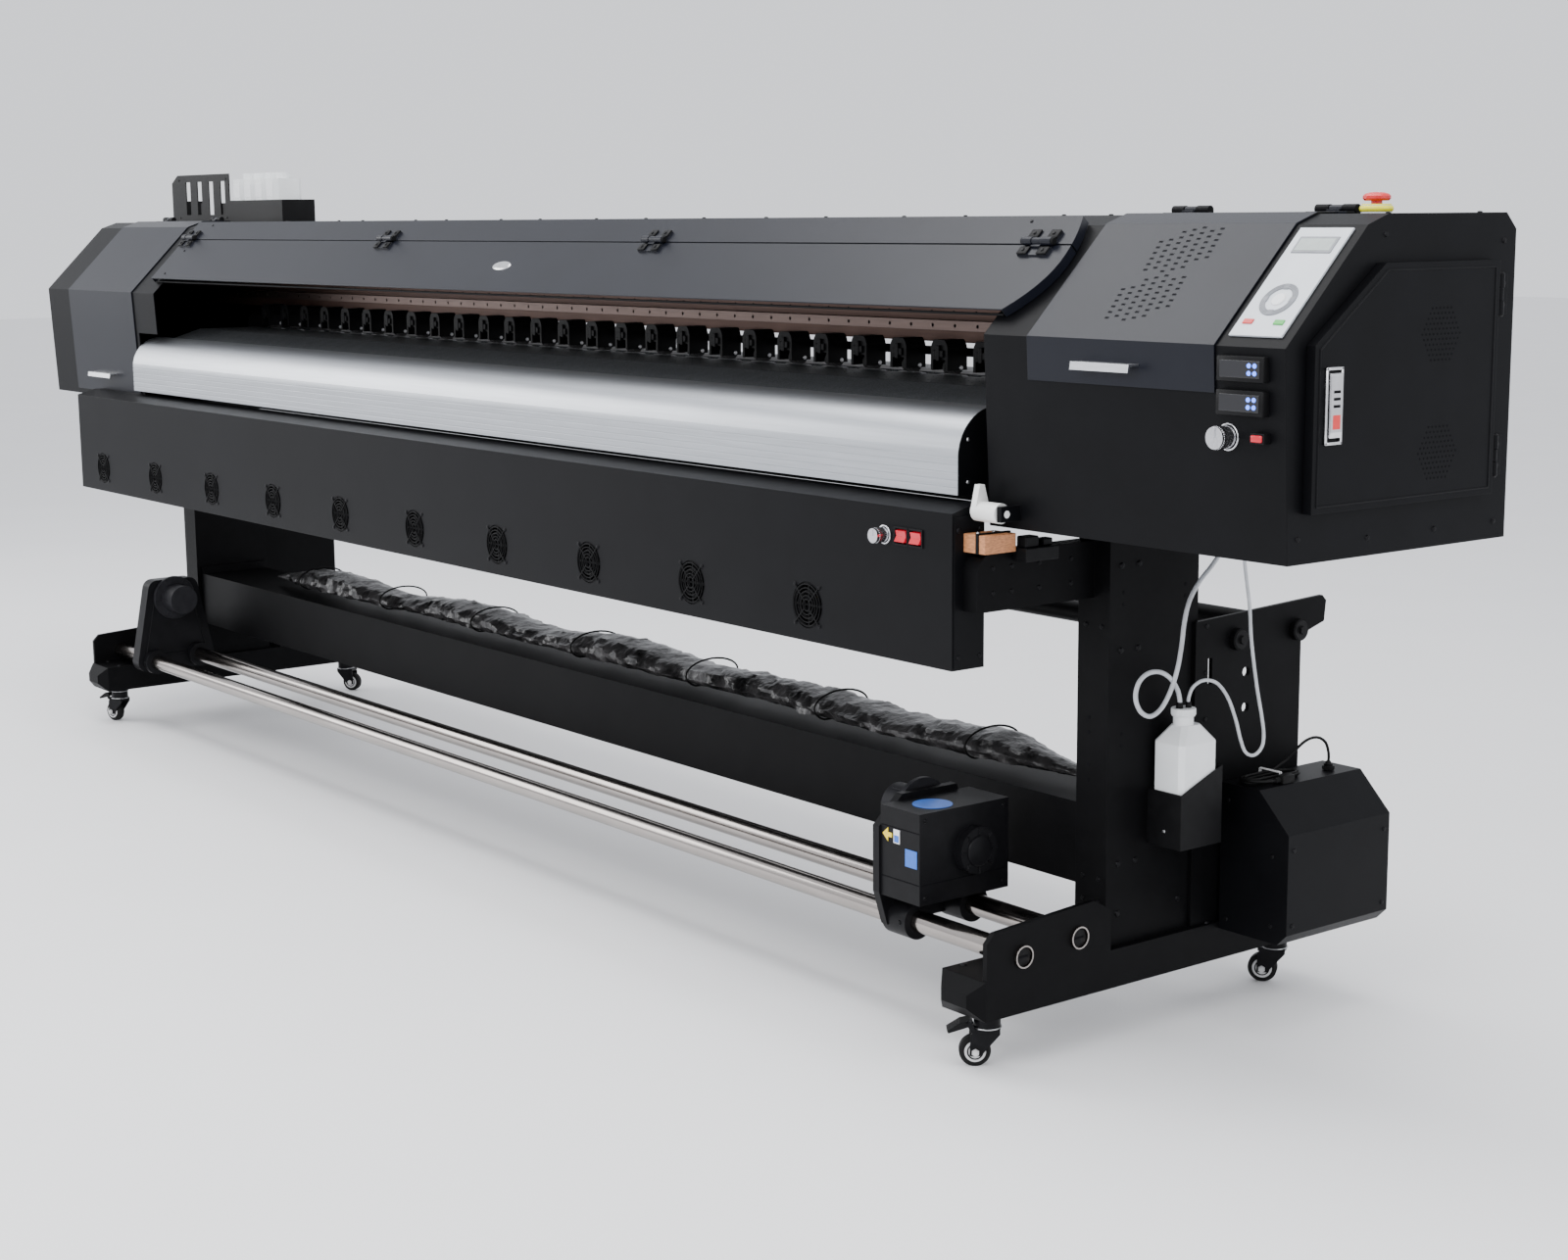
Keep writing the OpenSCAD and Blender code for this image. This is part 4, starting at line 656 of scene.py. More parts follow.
class PRINTER_OT_hoods(bpy.types.Operator):
    """Vent slots of the right hood, rest pads, and screws of the two cabinets"""

    bl_idname = "printer.hoods"
    bl_label = "Hoods and cabinets"

    def execute(self, context):
        sizes = context.scene.printer_sizes
        skin = 0.0032
        rims, holes = start(), start()
        # two fields of short slots in slanting columns, the upper one set to the right
        for first_x, first_u in ((1.895, 0.030), (1.905, 0.128)):
            for i in range(7):
                short = 3 - min(i, 6 - i)
                for k in range(short // 2, sizes.vent_rows - short // 2):
                    x = first_x + 0.0175 * i - 0.0015 * k
                    u = first_u + 0.0045 * i + sizes.vent_pitch * k
                    plate_on_slope(rims, x - 0.0042, x + 0.0042, u - 0.0020, u + 0.0020, skin - 0.0006,
                                   skin + 0.0004, bevel=0.0005)
                    plate_on_slope(holes, x - 0.0032, x + 0.0032, u - 0.0011, u + 0.0011, skin - 0.0002,
                                   skin + 0.0006)
        piece("hood_vent_rims", rims, "right_hood", "cover_black")
        # the slots are near-black plates laid on the hood: painted shade of the openings
        piece("hood_vent_slots", holes, "right_hood", "slot_dark")

        # rubber feet on the hood's inside edges, visible when it is open
        bm = start()
        for node in ("right_hood", "left_hood"):
            for x in (LO[node].x + 0.02, HI[node].x - 0.02):
                add_rod(bm, (x, front_y(LO[node].z + 0.02) + 0.0003, LO[node].z + 0.02),
                        (x, front_y(LO[node].z + 0.02) - 0.0004, LO[node].z + 0.02), 0.004, sides=16)
        piece("hood_rest_pads", bm, "root", "seal_black")

        side = [Vector((END, y, z)) for y, z in ((-0.30, 0.915), (0.14, 0.905), (0.14, 1.32), (-0.13, 1.332),
                                                 (0.0, 0.905), (-0.15, 0.905))]
        screws("cabinet_side_screws", "root", side, X)
        places = [Vector((x, y, ROOF)) for x in (BOX + 0.03, END - 0.03, CAP - 0.03) for y in (-0.09, 0.12)]
        screws("cabinet_roof_screws", "root", places, Z)

        # hinge leaf screws of the two hoods
        fixed = []
        for node in ("left_hood", "right_hood"):
            inset_l, inset_r = (0.060, 0.060) if node == "left_hood" else (0.075, 0.020)
            for x in (LO[node].x + inset_l, LO[node].x + (HI[node].x - LO[node].x) - inset_r):
                for s in (-1, 1):
                    fixed.append(Vector((x + s * 0.018, AXIS["left_hood_open"].y + 0.017, ROOF + 0.003)))
        screws("hood_hinge_screws", "root", fixed, Z, 0.0034, "screw_black")
        return {"FINISHED"}


class PRINTER_OT_panel(bpy.types.Operator):
    """Display and keys, temperature controllers, lamp, knob knurl and stop collar"""

    bl_idname = "printer.panel"
    bl_label = "Controls"

    def execute(self, context):
        x0, x1 = LO["panel_instruments"].x, LO["panel_instruments"].x + 0.096
        film = 0.003
        bm = start()
        plate_on_slope(bm, x0 + 0.012, x1 - 0.012, 0.176, 0.208, film - 0.001, film + 0.0012, bevel=0.0012)
        piece("display_frame", bm, "root", "key_grey")
        bm = start()
        plate_on_slope(bm, x0 + 0.016, x1 - 0.016, 0.180, 0.204, film + 0.0004, film + 0.0016, bevel=0.0005)
        piece("display_glass", bm, "root", "lcd_grey")
        centre = on_slope((x0 + x1) / 2, 0.087, film)
        normal = SLOPE_OUT
        ring = start()
        for radius in (0.0285, 0.0255, 0.0225):
            add_ring(ring, centre, normal, radius, 0.0018, sides=48, wire_sides=6)
        for k in range(4):
            turn = Matrix.Rotation(math.tau * k / 4, 4, "Z")
            add_box(ring, (-0.0045, 0.0195, -0.0004), (0.0045, 0.0295, 0.0016), bevel=0.0007,
                    turn=SLOPE @ Matrix.Translation(((x0 + x1) / 2, 0.087, film)) @ turn)
        piece("key_ring", ring, "root", "key_grey", smooth=True)
        bm = start()
        add_rod(bm, centre - normal * 0.0003, centre + normal * 0.0016, 0.012, 0.0105, sides=40)
        piece("key_middle", bm, "root", "label_white", smooth=True)
        for name, x, colour in (("stop_key", x0 + 0.020, "key_red"), ("start_key", x1 - 0.020, "key_green")):
            bm = start()
            plate_on_slope(bm, x - 0.009, x + 0.009, 0.040, 0.049, film - 0.0004, film + 0.0018, bevel=0.001)
            piece(name, bm, "root", colour)

        # temperature controllers: bezel, dark window and a block of four lit dots
        bezels, windows, dots = start(), start(), start()
        left, right = x0, x0 + 0.081
        face = LO["panel_instruments"].y
        for z in (BODY_Z + 0.256, BODY_Z + 0.209):
            add_box(bezels, (left - 0.003, face - 0.0045, z - 0.003),
                    (right + 0.003, face + 0.0160, z + 0.033),
                    bevel=0.0022)
            add_box(windows, (left + 0.004, face - 0.0053, z + 0.003),
                    (right - 0.004, face - 0.0040, z + 0.027),
                    bevel=0.0006)
            for i in range(2):
                for k in range(2):
                    x, zz = right - 0.023 + 0.0105 * i, z + 0.0098 + 0.0105 * k
                    add_rod(dots, (x, face - 0.0050, zz), (x, face - 0.0066, zz), 0.0036, 0.0030, sides=20)
        piece("controller_bezels", bezels, "root", "pinch_black", smooth=True)
        piece("controller_windows", windows, "root", "glass_dark")
        piece("controller_keys", dots, "root", "dot_blue", smooth=True)

        # red lamp with its black rim
        lamp_x0, lamp_z = x0 + 0.062, BODY_Z + 0.170
        bm = start()
        add_box(bm, (lamp_x0 - 0.0015, face - 0.0022, lamp_z - 0.0015),
                (lamp_x0 + 0.0235, face + 0.0160, lamp_z + 0.0135), bevel=0.0009)
        piece("lamp_rim", bm, "root", "pinch_black")
        bm = start()
        add_box(bm, (lamp_x0 + 0.001, face - 0.0052, lamp_z + 0.001),
                (lamp_x0 + 0.021, face - 0.0015, lamp_z + 0.011), bevel=0.0018)
        piece("lamp_lens", bm, "root", "rocker_red", smooth=True)

        # knob: knurl and seat
        centre = AXIS["box_knob_turn"]
        knob_detail("box_knob", centre, 32, 0.0160, (0.006, 0.019), 0.0009, front_y(centre.z) - 0.0012,
                    0.0185, 48)

        # stop button: yellow collar, ring and turn marks
        button = Vector(((LO["estop_button"].x + HI["estop_button"].x) / 2,
                         (LO["estop_button"].y + HI["estop_button"].y) / 2, ROOF))
        bm = start()
        add_rod(bm, button + Z * 0.0120, button + Z * 0.0136, 0.0215, 0.0205, sides=48)
        add_ring(bm, button + Z * 0.0068, Z, 0.0190, 0.0054, sides=48, wire_sides=12)
        piece("stop_collar", bm, "root", "ring_yellow", smooth=True)
        bm = start()
        top = HI["estop_button"].z
        for k in range(3):
            turn = Matrix.Translation((button.x, button.y, top)) @ Matrix.Rotation(math.tau * k / 3, 4, "Z")
            add_box(bm, (-0.0012, 0.0045, -0.0010), (0.0012, 0.0095, 0.0001), bevel=0.0003, turn=turn)
        piece("stop_marks", bm, "estop_button", "label_white")
        return {"FINISHED"}


class PRINTER_OT_door(bpy.types.Operator):
    """Lock frame, vents, screws and hinge caps of the side door"""

    bl_idname = "printer.door"
    bl_label = "Side door"

    def execute(self, context):
        face = END + 0.016
        lo, hi = LO["door_latch"], HI["door_latch"]
        bm = start()
        for y0, y1, z0, z1 in ((lo.y - 0.006, lo.y - 0.0015, lo.z - 0.010, hi.z + 0.008),
                               (hi.y + 0.0015, hi.y + 0.006, lo.z - 0.010, hi.z + 0.008),
                               (lo.y - 0.006, hi.y + 0.006, hi.z + 0.0035, hi.z + 0.008),
                               (lo.y - 0.006, hi.y + 0.006, lo.z - 0.010, lo.z - 0.0055)):
            add_box(bm, (face - 0.0002, y0, z0), (face + 0.0045, y1, z1), bevel=0.0012)
        piece("lock_frame", bm, "side_door", "latch_chrome", smooth=True)
        bm = start()
        add_box(bm, (hi.x - 0.0009, lo.y + 0.004, lo.z + 0.012), (hi.x + 0.0002, hi.y - 0.004, lo.z + 0.032),
                bevel=0.0004)
        piece("lock_button", bm, "door_latch", "key_red")
        # lock slots as near-black boxes: painted shade of the slots
        bm = start()
        for k in range(3):
            add_box(bm, (hi.x - 0.0007, lo.y + 0.005, lo.z + 0.042 + 0.010 * k),
                    (hi.x + 0.0002, hi.y - 0.005, lo.z + 0.046 + 0.010 * k))
        piece("lock_slots", bm, "door_latch", "slot_dark")

        # two round fields of small punched holes, each a near-black disc as painted shade of the hole
        bm = start()
        for cy, cz in ((-0.02, 1.190), (-0.02, 1.020)):
            for i in range(-6, 7):
                for k in range(-6, 7):
                    y, z = 0.0085 * (i + 0.5 * (k % 2)), 0.0074 * k
                    if y * y + z * z < 0.044 ** 2:
                        add_rod(bm, (face - 0.0002, cy + y, cz + z), (face + 0.0003, cy + y, cz + z), 0.0017,
                                sides=10)
        piece("door_vents", bm, "side_door", "slot_dark")

        # folded edge round the door
        bm = start()
        inset = 0.010
        outline = [(-0.292 + inset, 0.950 + inset), (0.112 - inset, 0.950 + inset),
                   (0.112 - inset, 1.293 - inset),
                   (-0.146 + inset * 0.4, 1.293 - inset), (-0.292 + inset, 1.183 - inset * 0.6)]
        ends = outline[1:] + outline[:1]
        for (y0, z0), (y1, z1) in zip(outline, ends):
            add_rod(bm, (face - 0.0004, y0, z0), (face - 0.0004, y1, z1), 0.0018, sides=8)
        piece("door_bead", bm, "side_door", "body_black", smooth=True)
        caps, heads = start(), []
        for z in (BODY_Z + 0.126, BODY_Z + 0.363):
            for s in (-1, 1):
                add_rod(caps, (END + 0.007, AXIS["side_door_open"].y, z + s * 0.0300),
                        (END + 0.007, AXIS["side_door_open"].y, z + s * 0.0325), 0.0068, 0.005, sides=20)
                heads.append(Vector((END + 0.003, AXIS["side_door_open"].y + 0.016, z + s * 0.016)))
        piece("door_hinge_caps", caps, "root", "pinch_black", smooth=True)
        screws("door_hinge_screws", "root", heads, X, 0.0034)
        return {"FINISHED"}


# ---------------------------------------------------------------- print zone


class PRINTER_OT_print_zone(bpy.types.Operator):
    """Belt, scale strip, rail screws, platen holes, arm springs and guide ends"""

    bl_idname = "printer.print_zone"
    bl_label = "Print zone"

    def execute(self, context):
        left, right = LO["side_frames"].x + 0.012, HI["side_frames"].x - 0.012
        beam_y = LO["main_beam"].y
        rail_top = HI["guide_rail"].z

        # toothed drive belt along the beam, with its two pulleys
        bm = start()
        belt_y = beam_y - 0.0032
        for z in (rail_top + 0.034, rail_top + 0.060):
            add_box(bm, (-END + 0.16, belt_y - 0.0060, z), (END - 0.17, belt_y + 0.0030, z + 0.0016))
        piece("drive_belt", bm, "root", "belt_black")
        bm = start()
        for x in (-END + 0.16, END - 0.17):
            add_rod(bm, (x, beam_y - 0.0075, rail_top + 0.0478), (x, beam_y - 0.0002, rail_top + 0.0478),
                    0.0135,
                    sides=32, bevel=0.001)
        piece("belt_pulleys", bm, "root", "rail_steel", smooth=True)

        # clear scale strip and its holders
        bm = start()
        add_box(bm, (-END + 0.20, beam_y - 0.0062, rail_top + 0.088),
                (END - 0.20, beam_y - 0.0056, rail_top + 0.100))
        piece("scale_strip", bm, "root", "strip_clear")
        bm = start()
        for x in (-END + 0.20, END - 0.20):
            add_box(bm, (x - 0.014, beam_y - 0.0085, rail_top + 0.084), (x + 0.014, beam_y - 0.0001,
                                                                        rail_top + 0.104), bevel=0.001)
        piece("strip_holders", bm, "root", "rail_steel")

        # socket screws in the rail, and slots along the beam's lower edge as near-black discs: painted shade of
        # the holes
        bm = start()
        holes = start()
        pitch = 0.060
        count = 70
        for i in range(0, count):
            x = LO["guide_rail"].x + (i + 0.5) * pitch
            if CAP - 0.05 < x < BOX + 0.05:
                y = LO["guide_rail"].y
                add_rod(bm, (x, y + 0.0050, rail_top - 0.009), (x, y + 0.0025, rail_top - 0.009), 0.0030,
                        sides=12)
                add_rod(holes, (x + 0.03, beam_y - 0.0003, rail_top + 0.014),
                        (x + 0.03, beam_y + 0.0002, rail_top + 0.014), 0.0028, sides=12)
        piece("rail_screws", bm, "root", "screw_black")
        piece("beam_holes", holes, "root", "slot_dark")

        # rows of suction holes in the two platens, with a groove at each row; holes and grooves are near-black
        # discs and strips, painted shade
        bm = start()
        top = HI["platens"].z
        row_ys = (-0.185, -0.155, -0.125, -0.095, 0.045, 0.085)
        for row, y in enumerate(row_ys):
            step = 0.028
            for i in range(int((right - left - 0.06) / step)):
                x = left + 0.03 + step * (i + 0.5 * (row % 2))
                add_rod(bm, (x, y, top - 0.0004), (x, y, top + 0.00025), 0.0013, sides=6)
        piece("platen_holes", bm, "root", "slot_dark")
        bm = start()
        for y in (-0.200, -0.075, 0.030, 0.110):
            add_box(bm, (left + 0.01, y - 0.0006, top - 0.0003), (right - 0.01, y + 0.0006, top + 0.0002))
        piece("platen_grooves", bm, "root", "slot_dark")

        # each arm: nose, axle caps, wheel grooves and a coil spring behind
        first = LO["pinch_wheels"].x + 0.014
        count = 28
        step = (HI["pinch_wheels"].x - LO["pinch_wheels"].x - 0.028) / (count - 1)
        wheel_z = (LO["pinch_wheels"].z + HI["pinch_wheels"].z) / 2
        wheel_y = (LO["pinch_wheels"].y + HI["pinch_wheels"].y) / 2
        caps, noses, springs, tyres = start(), start(), start(), start()
        for i in range(count):
            x = first + step * i
            for s in (-1, 1):
                add_rod(caps, (x + s * 0.0224, wheel_y, wheel_z), (x + s * 0.0238, wheel_y, wheel_z), 0.0042,
                        0.0034, sides=14)
            add_box(noses, (x - 0.0130, -0.0655, wheel_z + 0.0185), (x + 0.0130, -0.0618, wheel_z + 0.0315),
                    bevel=0.0014)
            add_box(noses, (x - 0.0045, -0.0668, wheel_z + 0.0125), (x + 0.0045, -0.0618, wheel_z + 0.0400),
                    bevel=0.0012)
            for k in range(5):
                add_ring(springs, (x, -0.0060, wheel_z + 0.0080 + 0.0026 * k), Z, 0.0052, 0.0009, sides=14,
                         wire_sides=5)
            for s in (-1, 1):
                add_ring(tyres, (x + s * 0.0075, wheel_y, wheel_z), X, 0.0118, 0.0007, sides=24, wire_sides=5)
        piece("arm_axle_caps", caps, "pinch_arms", "screw_steel", smooth=True)
        piece("arm_noses", noses, "pinch_arms", "pinch_black")
        piece("arm_springs", springs, "pinch_arms", "screw_steel", smooth=True)
        # wheel grooves as near-black rings: painted shade in the grooves
        piece("wheel_grooves", tyres, "pinch_wheels", "slot_dark", smooth=True)

        # end plates of the front guide, following its rounded profile
        guide_lo, guide_hi = LO["front_guide"], HI["front_guide"]
        radius = 0.078
        bm = start()
        for x0, x1 in ((guide_lo.x - 0.0022, guide_lo.x - 0.0002),
                       (guide_hi.x + 0.0002, guide_hi.x + 0.0022)):
            profile = [(guide_lo.y, guide_lo.z), (guide_lo.y, guide_hi.z - radius)]
            profile += [(guide_lo.y + radius - radius * math.cos(a),
                         guide_hi.z - radius + radius * math.sin(a))
                        for a in (math.radians(9 * k) for k in range(1, 11))]
            profile += [(guide_lo.y + radius, guide_lo.z + 0.03), (guide_lo.y + 0.04, guide_lo.z)]
            edge = [bm.verts.new((x0, y, z)) for y, z in profile]
            face = bm.faces.new(edge)
            grown = bmesh.ops.extrude_face_region(bm, geom=[face])["geom"]
            bmesh.ops.translate(bm, vec=(x1 - x0, 0, 0),
                                verts=[v for v in grown if isinstance(v, bmesh.types.BMVert)])
        piece("guide_end_plates", bm, "root", "body_black")
        places = [Vector((guide_hi.x + 0.0022, guide_lo.y + 0.020, z)) for z in (guide_lo.z + 0.02,
                                                                                 guide_hi.z - 0.05)]
        screws("guide_end_screws", "root", places, X, 0.0035, "screw_steel")

        # dark adjusting slots at the foot of the guide, in pairs: near-black boxes as painted shade of the slots
        bm = start()
        for i in range(12):
            x = guide_lo.x + 0.10 + i * (guide_hi.x - guide_lo.x - 0.2) / 11
            add_box(bm, (x - 0.009, guide_lo.y + 0.0002, guide_lo.z + 0.0022),
                    (x + 0.009, guide_lo.y + 0.0032, guide_lo.z + 0.0062), bevel=0.0008)
        piece("guide_slots", bm, "root", "slot_dark")
        return {"FINISHED"}


class PRINTER_OT_carriage(bpy.types.Operator):
    """Head plates, cover seams, screws and damper caps of the carriage"""

    bl_idname = "printer.carriage"
    bl_label = "Carriage"

    def execute(self, context):
        lo, hi = LO["carriage"], HI["carriage"]
        bm = start()
        for i in range(4):
            x = lo.x + 0.046 + 0.055 * i
            add_box(bm, (x - 0.012, lo.y + 0.030, lo.z - 0.0006), (x + 0.012, lo.y + 0.110, lo.z + 0.0004),
                    bevel=0.0002)
        piece("head_plates", bm, "carriage", "rail_steel")
        bm = start()
        face = lo.y
        for z in (lo.z + 0.060, lo.z + 0.160):
            add_box(bm, (lo.x + 0.004, face - 0.0006, z), (hi.x - 0.004, face + 0.0010, z + 0.0014))
        for i in range(6):
            add_box(bm, (lo.x + 0.030 + 0.036 * i, face - 0.0008, lo.z + 0.090),
                    (lo.x + 0.050 + 0.036 * i, face + 0.0010, lo.z + 0.094))
        piece("carriage_seams", bm, "carriage", "slot_dark")
        places = [Vector((x, face, z)) for x in (lo.x + 0.012, hi.x - 0.012) for z in (lo.z + 0.03,
                                                                                       lo.z + 0.13)]
        screws("carriage_screws", "carriage", places, -Y, 0.0034, "screw_steel")
        bm = start()
        top, roof_y = hi.z, -0.116
        for i in range(4):
            x = lo.x + 0.045 + 0.055 * i
            add_rod(bm, (x, roof_y, top - 0.001), (x, roof_y, top + 0.009), 0.0065, 0.0055, sides=20)
            add_rod(bm, (x, roof_y, top + 0.009), (x, roof_y, top + 0.013), 0.0032, sides=14)
        piece("damper_caps", bm, "carriage", "bottle_white", smooth=True)
        return {"FINISHED"}


# ---------------------------------------------------------------- duct, stand and casters


def fan_places():
    """Centres of the fan openings along the duct."""
    lo, hi = LO["fan_units"], HI["fan_units"]
    radius = (hi.z - lo.z) / 2
    count = 10
    step = (hi.x - lo.x - 2 * radius) / (count - 1)
    return [Vector((lo.x + radius + i * step, LO["drying_duct"].y, (lo.z + hi.z) / 2)) for i in range(count)]


class PRINTER_OT_duct(bpy.types.Operator):
    """Finger guards of the fans, end plates, their screws and the switch frames of the drying duct"""

    bl_idname = "printer.duct"
    bl_label = "Drying duct"

    def execute(self, context):
        lo, hi = LO["drying_duct"], HI["drying_duct"]
        guards, bolts = start(), []
        for at in fan_places():
            for radius in (0.010, 0.0165, 0.023, 0.0295, 0.036):
                add_ring(guards, at - Y * 0.0012, Y, radius, 0.0011, sides=36, wire_sides=6)
            for k in range(4):
                a = math.radians(45 + 90 * k)
                out = Vector((math.cos(a), 0, math.sin(a)))
                add_rod(guards, at + out * 0.008 - Y * 0.0012, at + out * 0.046 - Y * 0.0012, 0.0013, sides=8)
                bolts.append(at + out * 0.047)
        piece("fan_guards", guards, "root", "fan_black", smooth=True)
        screws("fan_guard_screws", "root", bolts, -Y, 0.0042, "screw_black")

        # rotor behind each guard
        bm = start()
        for at in fan_places():
            hub = at + Y * 0.016
            add_rod(bm, hub, hub + Y * 0.005, 0.014, 0.012, sides=28)
            for k in range(7):
                turn = Matrix.Translation(hub) @ Matrix.Rotation(math.tau * k / 7, 4, "Y")
                add_box(bm, (0.012, -0.001, -0.006), (0.033, 0.0008, 0.006),
                        turn=turn @ Matrix.Rotation(math.radians(28), 4, "X"))
        piece("fan_rotors", bm, "root", "pinch_black")

        # end plates with a turned flange
        bm = start()
        for x, s in ((hi.x, 1), (lo.x, -1)):
            add_box(bm, (min(x, x + s * 0.0016), lo.y + 0.003, lo.z + 0.004),
                    (max(x, x + s * 0.0016), hi.y - 0.003, hi.z - 0.018), bevel=0.0006)
        piece("duct_end_plates", bm, "root", "body_black")
        places = [Vector((hi.x + 0.0016, lo.y + dy, z)) for dy in (0.012, 0.058) for z in (lo.z + 0.02,
                                                                                           hi.z - 0.04)]
        screws("duct_end_screws", "root", places, X)
        frames = start()
        for node in ("duct_rocker_left", "duct_rocker_right"):
            x0, x1, z0, z1 = LO[node].x - 0.0015, HI[node].x + 0.0015, LO[node].z - 0.002, HI[node].z + 0.002
            y0, y1 = lo.y - 0.0022, lo.y - 0.0001
            for a, b, c, d in ((x0 - 0.003, x0, z0 - 0.003, z1 + 0.003),
                               (x1, x1 + 0.003, z0 - 0.003, z1 + 0.003),
                               (x0, x1, z1, z1 + 0.003), (x0, x1, z0 - 0.003, z0)):
                add_box(frames, (a, y0, c), (b, y1, d), bevel=0.0006)
        piece("switch_frames", frames, "root", "pinch_black")
        knob_detail("duct_knob", AXIS["duct_knob_turn"], 24, 0.0120, (0.007, 0.021), 0.0008, lo.y - 0.001,
                    0.0145, 40)
        return {"FINISHED"}


class PRINTER_OT_stand(bpy.types.Operator):
    """Bolts, plugs, insulating block and wrapped loom of the stand"""

    bl_idname = "printer.stand"
    bl_label = "Stand"

    def execute(self, context):
        foot_top, beam_top = 0.161, HI["cross_beam"].z
        half = 0.036

        # bolts: column to foot, column sides, arm sides
        places_r = [Vector((LEG_R + half, y, z)) for y,
                    z in ((-0.09, 0.80), (-0.05, 0.80), (-0.09, 0.66), (-0.05, 0.66),
                                                              (-0.09, 0.30), (-0.05, 0.30), (-0.09, 0.215),
                                                              (0.055, 0.215), (0.0, 0.84), (0.06, 0.84))]
        screws("column_bolts_right", "root", places_r, X, 0.0058, "screw_black")
        places_l = [Vector((LEG_L - half, y, z)) for y,
                    z in ((-0.09, 0.80), (-0.05, 0.80), (-0.09, 0.62), (-0.05, 0.62),
                                                              (-0.09, 0.30), (-0.05, 0.30), (0.055, 0.215))]
        screws("column_bolts_left", "root", places_l, -X, 0.0058, "screw_black")
        fronts = [Vector((x + dx, COLUMN_FRONT, z)) for x in (LEG_L, LEG_R) for dx in (-0.018, 0.018)
                  for z in (0.235, 0.275, 0.700)]
        screws("column_front_bolts", "root", fronts, -Y, 0.0045, "screw_black")
        arm = [Vector((LEG_R, y, z)) for y in (-0.34, -0.30, -0.24, -0.17) for z in (0.775, 0.815)]
        screws("arm_bolts", "root", arm, X, 0.0042, "screw_black")
        # near-black discs: painted shade of the holes in the columns
        holes = start()
        for z in (0.52, 0.545, 0.44, 0.465):
            add_rod(holes, (LEG_R - 0.008, COLUMN_FRONT - 0.0003, z),
                    (LEG_R - 0.008, COLUMN_FRONT + 0.0002, z),
                    0.0032, sides=14)
        for y in (-0.085, 0.060):
            for z in (0.735, 0.755, 0.50, 0.52):
                add_rod(holes, (LEG_R + half - 0.0002, y, z), (LEG_R + half + 0.0003, y, z), 0.0032, sides=14)
        piece("column_holes", holes, "root", "slot_dark")
        base_screws = [Vector((x + dx, y, foot_top)) for x in (LEG_L, LEG_R) for dx in (-0.042, 0.042)
                       for y in (-0.36, -0.14, 0.12, 0.36)]
        screws("foot_bolts", "root", base_screws, Z, 0.0062, "screw_black")
        flange = [Vector((x, y, z)) for x, y, z in
                  [(LO["cross_beam"].x + 0.005, -0.105, 0.262), (HI["cross_beam"].x - 0.005, -0.105, 0.262)]]
        screws("beam_flange_screws", "root", flange, -Y, 0.0040, "screw_black")

        # end caps in the tubes, with a pull slot as a near-black box: painted shade of the slot
        caps, slots = start(), start()
        for y, z in (FRONT_TUBE, REAR_TUBE):
            for x, s in ((LO["takeup_tubes"].x, 1), (HI["takeup_tubes"].x, -1)):
                add_rod(caps, (x + s * 0.004, y, z), (x + s * 0.020, y, z), 0.0162, sides=36,
                        bevel=0.0015)
                add_box(slots, (min(x + s * 0.003, x + s * 0.0045), y - 0.009, z - 0.0015),
                        (max(x + s * 0.003, x + s * 0.0045), y + 0.009, z + 0.0015))
        piece("tube_plugs", caps, "root", "pinch_black", smooth=True)
        piece("tube_plug_slots", slots, "root", "slot_dark")

        # pressed laminate block on the right arm, with a dark strap at its corner, and clamps
        arm_top = BODY_Z - 0.039
        bm = start()
        add_box(bm, (LEG_R - 0.0345, -0.372, arm_top + 0.0005), (LEG_R + 0.016, -0.306, arm_top + 0.030),
                bevel=0.0012)
        piece("insulating_block", bm, "root", "insulating_brown")
        bm = start()
        add_box(bm, (LEG_R - 0.004, -0.3745, arm_top + 0.0005), (LEG_R + 0.002, -0.304, arm_top + 0.0325),
                bevel=0.001)
        add_box(bm, (LEG_R + 0.002, -0.300, arm_top - 0.016), (LEG_R + 0.034, -0.230, arm_top + 0.006),
                bevel=0.0015)
        add_box(bm, (LEG_R + 0.006, -0.296, arm_top + 0.006), (LEG_R + 0.028, -0.268, arm_top + 0.024),
                bevel=0.002)
        add_box(bm, (LEG_R + 0.008, -0.256, arm_top + 0.006), (LEG_R + 0.026, -0.236, arm_top + 0.018),
                bevel=0.002)
        piece("block_clamps", bm, "root", "pinch_black")
        screws("block_screws", "root",
               [Vector((LEG_R - 0.018, y, arm_top + 0.030)) for y in (-0.356, -0.322)], Z,
               0.0045, "screw_steel")

